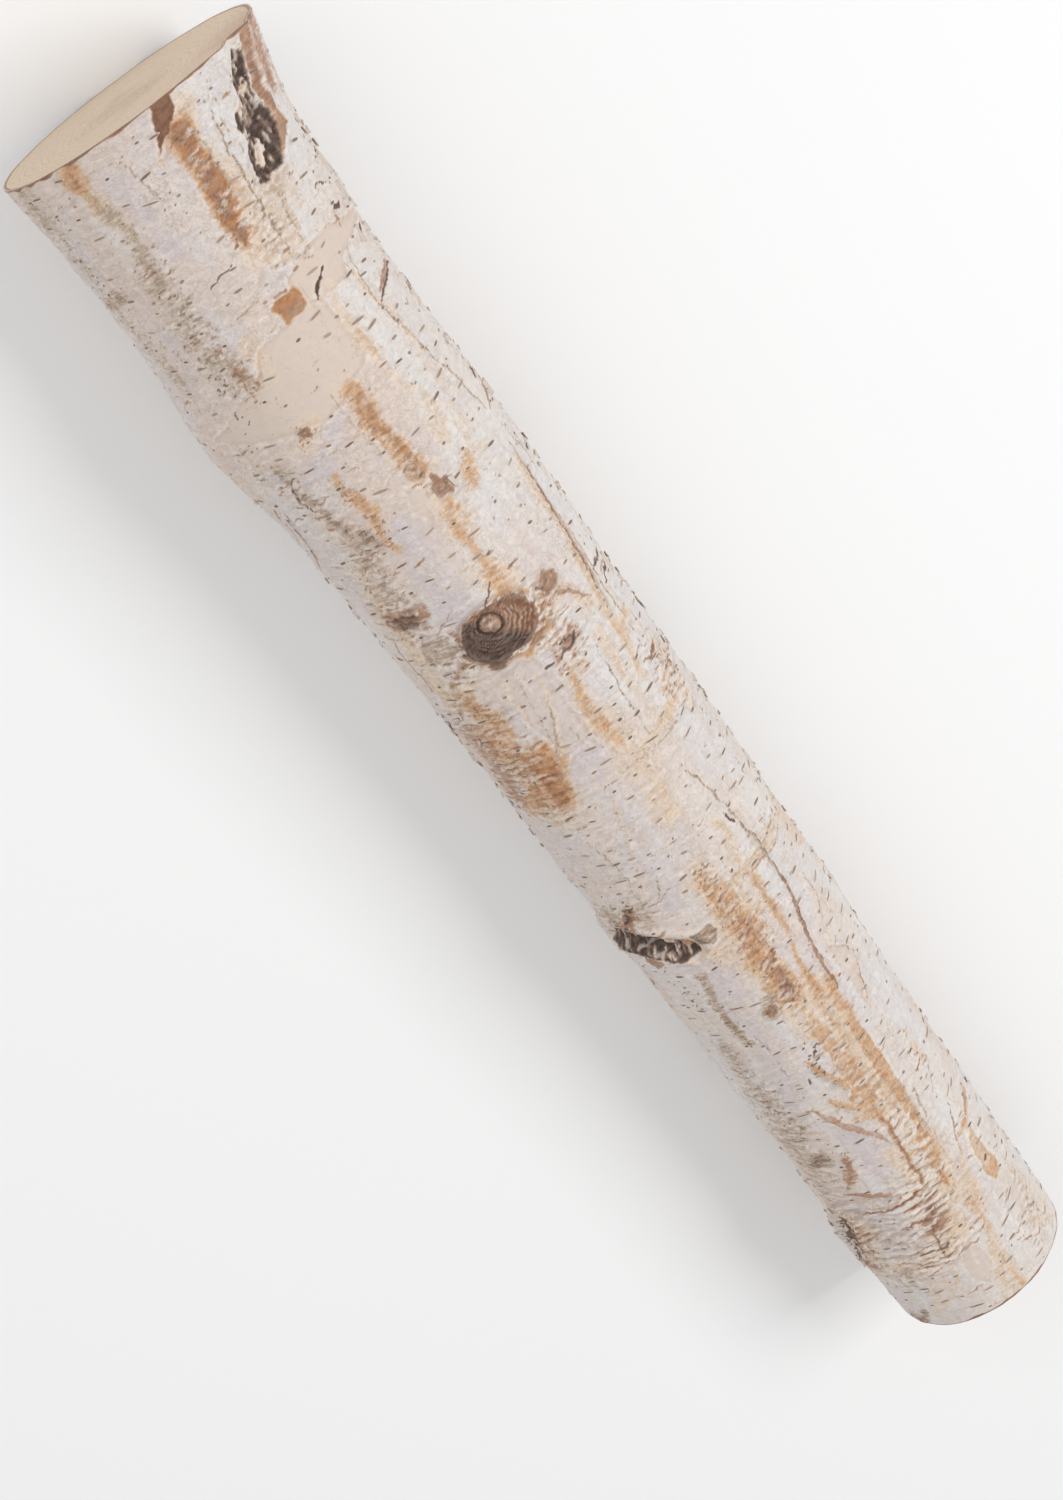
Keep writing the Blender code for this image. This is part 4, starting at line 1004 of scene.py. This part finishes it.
# The darker pink laid on the side facing +Y: partly the bark's own tone, partly painted shade.
pink_shaded_tone = mix(tree, stepped(tree, shared["Clouds"], 0.42, 0.60), (0.725, 0.605, 0.535), (0.715, 0.640, 0.620))
colour = mix(tree, pink_side_shading, cool, pink_shaded_tone)
lilac = carried(tree, "tints", ALPHA)
colour = mix(tree, stepped(tree, lilac, 0.15, 0.75), colour, (0.670, 0.598, 0.600))
warm = times(tree, stepped(tree, shared["Warmth"], 0.50, 0.68), 0.50)
colour = mix(tree, warm, colour, (0.78, 0.66, 0.56))
dim = times(tree, stepped(tree, shared["Patches"], 0.48, 0.34), 0.22)
colour = mix(tree, dim, colour, (0.64, 0.56, 0.52))
colour = mix(tree, times(tree, stepped(tree, grain, 0.46, 0.28), 0.16), colour, (0.60, 0.51, 0.45))
colour = mix(tree, times(tree, stepped(tree, grain, 0.55, 0.72), 0.55), colour, (0.85, 0.81, 0.78))
for light, strong, mask, size in (
    ((0.715, 0.610, 0.535), (0.695, 0.575, 0.490), cream, 0.9),
    ((0.77, 0.625, 0.495), (0.70, 0.50, 0.34), ochre, 2.0),
    ((0.70, 0.46, 0.285), (0.50, 0.235, 0.105), rust, 2.0),
    ((0.57, 0.46, 0.365), (0.31, 0.215, 0.155), grime, 3.0),
    ((0.50, 0.31, 0.21), (0.27, 0.135, 0.085), red, 1.6),
    ((0.26, 0.175, 0.135), (0.085, 0.060, 0.052), dark, 1.4),
):
    colour = use_group(
        tree, stain_group, Below=colour, Light=light, Strong=strong, Mask=mask, Noise=flecks, Break=size
    )["Color"]
# Painted shade: the creases are multiplied darker.
colour = mix(tree, crease_shading, colour, (0.62, 0.50, 0.42), "MULTIPLY")
# Pale marks and the painted highlight on raised bark lighten the colour.
colour = mix(tree, times(tree, ridge_highlighting, 0.90), colour, (0.86, 0.78, 0.71))
marked = math_node(tree, "MAXIMUM", rust, grime)
marked = math_node(tree, "MAXIMUM", marked, times(tree, ochre, 0.8))
marked = math_node(tree, "MAXIMUM", marked, times(tree, stepped(tree, shared["Warmth"], 0.5, 0.7), 0.6))
smooth = math_node(tree, "SUBTRACT", 1.0, cream)
shown = times(tree, math_node(tree, "MULTIPLY_ADD", marked, 0.55, 0.10), smooth)
fibre_share = times(tree, shared["Fibres"], shown)
colour = mix(tree, fibre_share, colour, (0.36, 0.24, 0.16))
seam_share = times(tree, shared["Seams"], times(tree, shown, 0.8))
colour = mix(tree, seam_share, colour, (0.46, 0.33, 0.23))
speck_share = times(tree, shared["Specks"], math_node(tree, "MULTIPLY_ADD", marked, 0.40, 0.04))
colour = mix(tree, speck_share, colour, (0.26, 0.19, 0.14))
tree.links.new(colour, surface["Base Color"])
lift = times(tree, math_node(tree, "MAXIMUM", shared["Fibres"], shared["Seams"]), -0.5)
lift = times(tree, lift, smooth)
height = math_node(tree, "ADD", lift, times(tree, flecks, 1.2))
bump = wire(tree, "ShaderNodeBump", {"Strength": 0.5, "Distance": 0.00045, "Height": height})
tree.links.new(bump, surface["Normal"])

normals = grid_normals(skin)
cylinder = np.stack([MEAN_GIRTH * np.cos(angle), MEAN_GIRTH * np.sin(angle), S], -1)
tint_values = np.stack([masks["rust"], masks["ochre"], masks["cream"], masks["lilac"]], -1)
stain_values = np.stack([masks["grime"], masks["dark"], masks["red"], np.ones(S.shape)], -1)
# The shades attribute carries painted light: the pink side shade, the crease shade, and pale marks with a
# painted highlight on raised bark.
shade_values = np.stack([pink_side_shade, crease_shade, ridge_highlight, np.ones(S.shape)], -1)
CLEAR = 0.5
quiet = masks["dark"] + 0.9 * masks["red"] + 0.8 * masks["rust"] + 0.55 * masks["cream"] + 0.5 * masks["grime"]
pore_room = ramp(1 - quiet, 0.2, 0.8) * ramp(to_end, 3 * CLEAR, 6 * CLEAR)
pore_room *= (Z > 3 * CLEAR) * (Z < 1000 * cad_high.z - CLEAR)
pore_room *= (Y > 1000 * cad_low.y + CLEAR) * (Y < 1000 * cad_high.y - CLEAR)
bark_lengths = []
for number, name in enumerate(("bark_thick_end", "bark_middle", "bark_thin_end")):
    cut = slice(number * (ROWS - 1) // SEGMENTS, (number + 1) * (ROWS - 1) // SEGMENTS + 1)
    mesh = sheet_mesh(name, skin[cut])
    for attribute, kind, values in (
        ("place", "FLOAT_VECTOR", cylinder), ("tints", "FLOAT_COLOR", tint_values),
        ("stains", "FLOAT_COLOR", stain_values), ("shades", "FLOAT_COLOR", shade_values),
        ("pore_room", "FLOAT", pore_room),
    ):
        put_attribute(mesh, attribute, kind, values[cut])
    mesh.normals_split_custom_set_from_vertices(normals[cut].reshape(-1, 3).tolist())
    mesh.materials.append(bark)
    piece = add_piece(name, mesh)
    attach(piece, "root")
    bark_lengths.append(piece)
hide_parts("birch_log")


# The pores: corky lens-shaped dashes in the bark, grown across the grain and flush with it.
# They are placed by a rule over the skin, thinner where the bark has peeled or darkened.
NARROW, BROAD, THICK, LEAN = 0.00066, 0.00108, 0.00036, 0.22
pore_group, given, finished = new_group(
    "pores",
    {
        "Geometry": "Geometry", "Spacing": "Float", "Number": "Float", "Length": "Float", "Seed": "Int",
        "Material": "Material",
    },
    {"Geometry": "Geometry"},
    "GeometryNodeTree",
)
room = wire(pore_group, "GeometryNodeInputNamedAttribute", {"Name": "pore_room"}, data_type="FLOAT")
spread = pore_group.nodes.new("GeometryNodeDistributePointsOnFaces")
spread.distribute_method = "POISSON"
spots = feed(
    pore_group, spread,
    {
        "Mesh": given["Geometry"], "Distance Min": given["Spacing"], "Density Max": given["Number"],
        "Density Factor": room, "Seed": given["Seed"],
    },
)


def seeded(low, high, seed, kind="FLOAT"):
    """A value drawn for each pore."""
    first = 2 if kind == "FLOAT" else 0
    drawn = {first: low, first + 1: high, "Seed": seed}
    return wire(pore_group, "FunctionNodeRandomValue", drawn, first // 2, data_type=kind)


def store(geometry, name, value, domain):
    """Keeps a value on the pores for their material."""
    values = {"Geometry": geometry, "Name": name, "Value": value}
    return wire(pore_group, "GeometryNodeStoreNamedAttribute", values, data_type="FLOAT", domain=domain)


lens = wire(pore_group, "GeometryNodeMeshUVSphere", {"Segments": 8, "Rings": 4, "Radius": 0.5})
flat = vector_node(pore_group, "MULTIPLY", wire(pore_group, "GeometryNodeInputPosition"), (2.0, 2.0, 0.0))
lens = store(lens, "lip", vector_node(pore_group, "LENGTH", flat, output=1), "POINT")
upright = wire(
    pore_group, "FunctionNodeAlignRotationToVector", {"Vector": spots["Normal"]}, axis="Z"
)
across = vector_node(pore_group, "CROSS_PRODUCT", (1.0, 0.0, 0.0), spots["Normal"])
leaning = seeded((-LEAN,) * 3, (LEAN,) * 3, 3, "FLOAT_VECTOR")
across = vector_node(pore_group, "ADD", across, leaning)
turned = wire(
    pore_group, "FunctionNodeAlignRotationToVector", {"Rotation": upright, "Vector": across},
    axis="Y", pivot_axis="Z",
)
longness = math_node(pore_group, "POWER", seeded(0.0, 1.0, 5), 2.6)
longness = times(pore_group, math_node(pore_group, "MULTIPLY_ADD", longness, 1.7, 0.55), given["Length"])
size = wire(pore_group, "ShaderNodeCombineXYZ", {0: seeded(NARROW, BROAD, 8), 1: longness, 2: THICK})
placed = wire(
    pore_group,
    "GeometryNodeInstanceOnPoints",
    {"Points": spots["Points"], "Instance": lens, "Rotation": turned, "Scale": size},
)
named = store(placed, "shade", seeded(0.0, 1.0, 13), "INSTANCE")
real = wire(pore_group, "GeometryNodeRealizeInstances", {0: named})
coated = wire(pore_group, "GeometryNodeSetMaterial", {"Geometry": real, "Material": given["Material"]})
pore_group.links.new(coated, finished["Geometry"])

cork, tree, surface = new_material("pore_cork", 0.8)
core = mix(tree, carried(tree, "shade"), (0.17, 0.115, 0.085), (0.46, 0.34, 0.26))
core = mix(tree, stepped(tree, carried(tree, "lip"), 0.60, 1.0), core, (0.74, 0.65, 0.58))
tree.links.new(core, surface["Base Color"])


def grown(source, group, name, **inputs):
    """The plain mesh that a geometry group makes over a piece."""
    maker = add_piece(name, source.data)
    modifier = maker.modifiers.new(group.name, "NODES")
    modifier.node_group = group
    for item in group.interface.items_tree:
        if item.in_out == "INPUT" and item.name in inputs:
            modifier[item.identifier] = inputs[item.name]
    graph = bpy.context.evaluated_depsgraph_get()
    mesh = bpy.data.meshes.new_from_object(maker.evaluated_get(graph))
    mesh.name = name
    maker.modifiers.clear()
    maker.data = mesh
    return maker


for number, source in enumerate(bark_lengths):
    pores = grown(
        source, pore_group, source.name.replace("bark", "pores"),
        Spacing=0.0040, Number=34000.0, Length=0.0029, Seed=number + 4, Material=cork,
    )
    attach(pores, "root")


# The sawn ends: plane cuts across the wood, with its rings, the marks of the saw and a thin
# rim of bark. Each is a disc that fills the skin's edge.
WOOD_RINGS = 17.0
wood, tree, surface = new_material("sawn_wood", 0.8)
place, reach = carried(tree, "place", VECTOR), carried(tree, "reach")
warp = noise_node(tree, place, 0.12, 3.0)
rings = math_node(tree, "MULTIPLY_ADD", reach, WOOD_RINGS, times(tree, warp, 2.2))
rings = math_node(tree, "FRACT", rings)
late = stepped(tree, rings, 0.55, 0.97)
pith_shade = stepped(tree, math_node(tree, "MULTIPLY_ADD", warp, 0.9, reach), 0.95, 0.50)
colour = mix(tree, times(tree, late, 0.34), (0.83, 0.67, 0.515), (0.64, 0.47, 0.33))
colour = mix(tree, times(tree, pith_shade, 0.28), colour, (0.50, 0.34, 0.21))
torn = times(tree, carried(tree, "torn"), stepped(tree, warp, 0.10, 0.50))
colour = mix(tree, times(tree, torn, 0.75), colour, (0.62, 0.41, 0.32))
pores_in_wood = noise_node(tree, place, 2.6, 4.0, 0.7)
colour = mix(tree, times(tree, stepped(tree, pores_in_wood, 0.50, 0.34), 0.5), colour, (0.38, 0.26, 0.16))
colour = mix(tree, stepped(tree, reach, 0.968, 0.974), colour, (0.48, 0.31, 0.19))
colour = mix(tree, stepped(tree, reach, 0.990, 0.993), colour, (0.72, 0.66, 0.60))
tree.links.new(colour, surface["Base Color"])
bump = wire(tree, "ShaderNodeBump", {"Strength": 0.5, "Distance": 0.0004, "Height": pores_in_wood})
tree.links.new(bump, surface["Normal"])
DISC_RINGS, SAW_DEPTH = 70, 0.00009
for name, row, sign in (("sawn_thick_end", 0, 1), ("sawn_thin_end", -1, -1)):
    edge = skin[row]
    centre = np.array([edge[:, 0].mean(), edge[:, 1].mean() + 0.0015, edge[:, 2].mean() - 0.001])
    share = np.linspace(0.004, 1, DISC_RINGS)[:, None, None]
    points = centre + (edge[None] - centre) * share
    saw = np.array([noise.noise((p[1] * 90, p[2] * 900, 3.0 * sign)) for p in points.reshape(-1, 3)])
    sunk = SAW_DEPTH * (1 + saw.reshape(points.shape[:2])) * np.minimum(1, (1 - share[..., 0]) * 25)
    points[..., 0] -= sign * sunk
    if sign > 0:
        points = points[:, ::-1]
    mesh = sheet_mesh(name, points)
    put_attribute(mesh, "place", "FLOAT_VECTOR", points * 1000)
    put_attribute(mesh, "reach", "FLOAT", np.repeat(share[..., 0], points.shape[1], axis=1))
    beside_scar = np.exp(-(((turn_columns[None, ::-sign] + 62) / 26) ** 2))
    torn = (sign > 0) * beside_scar * ramp(share[..., 0], 0.45, 1.0)
    put_attribute(mesh, "torn", "FLOAT", torn)
    mesh.materials.append(wood)
    end = add_piece(name, mesh)
    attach(end, "root")


# Loose curls of papery bark, torn free on three sides and rolling off the trunk, and small
# ragged flakes of it that stand on the bark where it is puckered and along the flanks.
PAPER, SUNK, SEATED = 0.00018, 0.0004, 0.0006
CURLS = (
    (40.0, -76, -80, 7.0, 5.2), (48.0, -72, -100, 5.0, 4.6), (59.0, -66, -95, 5.0, 4.0),
    (80.0, -78, -90, 6.0, 5.0), (112.0, -80, -85, 5.0, 4.6), (170.0, -76, -90, 6.0, 5.0),
    (244.0, -80, -100, 6.0, 4.6), (119.5, -19, 100, 3.4, 2.4), (225.0, 112, 85, 9.0, 6.2),
    (95.0, 138, 95, 11.0, 5.8), (305.0, -128, -90, 9.0, 6.0), (365.0, 104, 85, 8.0, 5.6),
)
paper_bark, tree, surface = new_material("paper_bark", 0.7)
grain = use_group(tree, grain_group, Place=carried(tree, "place", VECTOR))["Grain"]
colour = mix(tree, stepped(tree, grain, 0.35, 0.65), (0.40, 0.28, 0.20), (0.66, 0.55, 0.46))
colour = mix(tree, times(tree, carried(tree, "outer_side"), 0.6), colour, (0.70, 0.62, 0.56))
tree.links.new(colour, surface["Base Color"])


def paper_strips(name, strips, steps, cuts, curve):
    """One mesh of closed thin strips, each (along, turn, heading, width, reach) on the bark."""
    verts, faces, places, outer_side = [], [], [], []
    border = [(0, j) for j in range(cuts)] + [(i, cuts - 1) for i in range(1, steps)]
    border += [(steps - 1, j) for j in range(cuts - 2, -1, -1)] + [(i, 0) for i in range(steps - 2, 0, -1)]
    for along, turn, heading, strip_width, reach in strips:
        column = int(np.abs((turn_columns - turn + 180) % 360 - 180).argmin())
        row = min(int(np.searchsorted(along_rows, along)), ROWS - 1)
        seat, out = skin[row, column], normals[row, column]
        side_on = np.cross(out, (1.0, 0.0, 0.0))
        side_on /= np.linalg.norm(side_on)
        way = math.radians(heading)
        forward = side_on * math.sin(way) - np.array([math.cos(way), 0, 0])
        side = side_on * math.cos(way) + np.array([math.sin(way), 0, 0])
        start, roll_radius = len(verts), reach / 1000 / curve
        for face_side in (1, -1):
            for i in range(steps):
                for j in range(cuts):
                    share, sideways = i / (steps - 1), j / (cuts - 1) - 0.5
                    ragged = 1 - 0.7 * abs(noise.noise((along, turn + sideways * 5, 1.0)))
                    twisted = 1 + 0.5 * noise.noise((along, turn, 4.0 + sideways * 2))
                    swept = share * ragged * curve
                    thick = PAPER * face_side * (1 - 0.6 * share)
                    point = seat - out * SUNK - forward * SEATED
                    point = point + forward * (roll_radius - thick) * math.sin(swept)
                    lifted = roll_radius * (1 - math.cos(swept)) * twisted + thick * math.cos(swept)
                    point = point + out * lifted
                    point = point + side * (sideways * strip_width / 1000 * (1 - 0.6 * share**2))
                    verts.append(point)
                    places.append((point[0] * 1000, point[1] * 1000, along + 8 * share))
                    outer_side.append(float(face_side < 0))
        back = start + steps * cuts
        for i in range(steps - 1):
            for j in range(cuts - 1):
                here = i * cuts + j
                faces.append((start + here, start + here + 1, start + here + cuts + 1, start + here + cuts))
                faces.append((back + here, back + here + cuts, back + here + cuts + 1, back + here + 1))
        for (i, j), (k, m) in zip(border, border[1:] + border[:1]):
            faces.append((start + i * cuts + j, back + i * cuts + j, back + k * cuts + m, start + k * cuts + m))
    verts = np.array(verts)
    verts[:, 1] = np.clip(verts[:, 1], cad_low.y, cad_high.y)
    verts[:, 2] = np.clip(verts[:, 2], 0.0, cad_high.z)
    mesh = bpy.data.meshes.new(name)
    mesh.from_pydata(verts.tolist(), [], faces)
    mesh.shade_smooth()
    put_attribute(mesh, "place", "FLOAT_VECTOR", np.array(places))
    put_attribute(mesh, "outer_side", "FLOAT", np.array(outer_side))
    mesh.materials.append(paper_bark)
    piece = add_piece(name, mesh)
    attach(piece, "root")


paper_strips("bark_curls", CURLS, 9, 9, math.radians(80))
draw = random.Random(57)
flakes = []
for count, along_low, along_high, turn_low, turn_high in (
    (110, 26, 262, -112, -74), (30, 262, 420, -110, -76), (22, 384, 404, 54, 78), (14, 176, 212, 54, 78),
    (40, 30, 420, 76, 100), (60, 6, 424, 104, 248),
):
    for _ in range(count):
        place = (draw.uniform(along_low, along_high), draw.uniform(turn_low, turn_high))
        flakes.append((*place, draw.uniform(0, 360), draw.uniform(1.0, 3.0), draw.uniform(1.2, 3.0)))
paper_strips("bark_flakes", flakes, 5, 4, math.radians(60))


# The room: a pale floor under soft light from above, and the camera at the photograph's angle.
floor_mesh = bpy.data.meshes.new("floor")
floor_mesh.from_pydata([(-6, -6, 0), (6, -6, 0), (6, 6, 0), (-6, 6, 0)], [], [(0, 1, 2, 3)])
pale, tree, surface = new_material("pale_floor", 0.9)
surface["Base Color"].default_value = (0.93, 0.93, 0.93, 1)
floor_mesh.materials.append(pale)
floor = add_piece("floor", floor_mesh)

slope = math.atan2(37.0 - 27.6, LENGTH)
rig = Matrix.Translation((0, -0.0004, 0.0323)) @ Matrix.Rotation(-slope, 4, "Y")
right = Vector((-0.54673051, -0.80644854, 0.22522543))
down = Vector((-0.73084534, 0.59088819, 0.34163759))
look = Vector((-0.40859619, 0.02217874, -0.91244576))
turned = Matrix((right, -down, -look)).transposed().to_4x4()
turned.translation = Vector((0.31873, 0, 0.68904))
camera_data = bpy.data.cameras.new("camera")
camera_data.sensor_width = 36
camera_data.lens = 66.05
camera_data.clip_start, camera_data.clip_end = 0.01, 30
camera = add_piece("camera", camera_data)
camera.matrix_world = rig @ turned
bpy.context.scene.camera = camera

view_up = (rig @ turned).to_3x3() @ Vector((0, 1, 0))
view_right = (rig @ turned).to_3x3() @ Vector((1, 0, 0))
for name, side, up, rise, size, power in (
    ("key", 0.80, 0.55, 1.10, 0.6, 9.2),
    ("fill", -0.9, 0.3, 1.1, 1.4, 3.5),
    ("low", 0.1, -1.0, 1.0, 1.4, 2.0),
):
    light_data = bpy.data.lights.new(name, "AREA")
    light_data.size = size
    light_data.energy = power
    light = add_piece(name, light_data)
    light.location = view_right * side + view_up * up + Vector((0, 0, rise))
    light.rotation_euler = (-light.location).to_track_quat("-Z", "Y").to_euler()
world = bpy.data.worlds.new("studio")
bpy.context.scene.world = world
world.use_nodes = True
feed(world.node_tree, world.node_tree.nodes["Background"], {"Color": (1, 1, 1), "Strength": 0.53})
bpy.context.scene.view_settings.view_transform = "Standard"
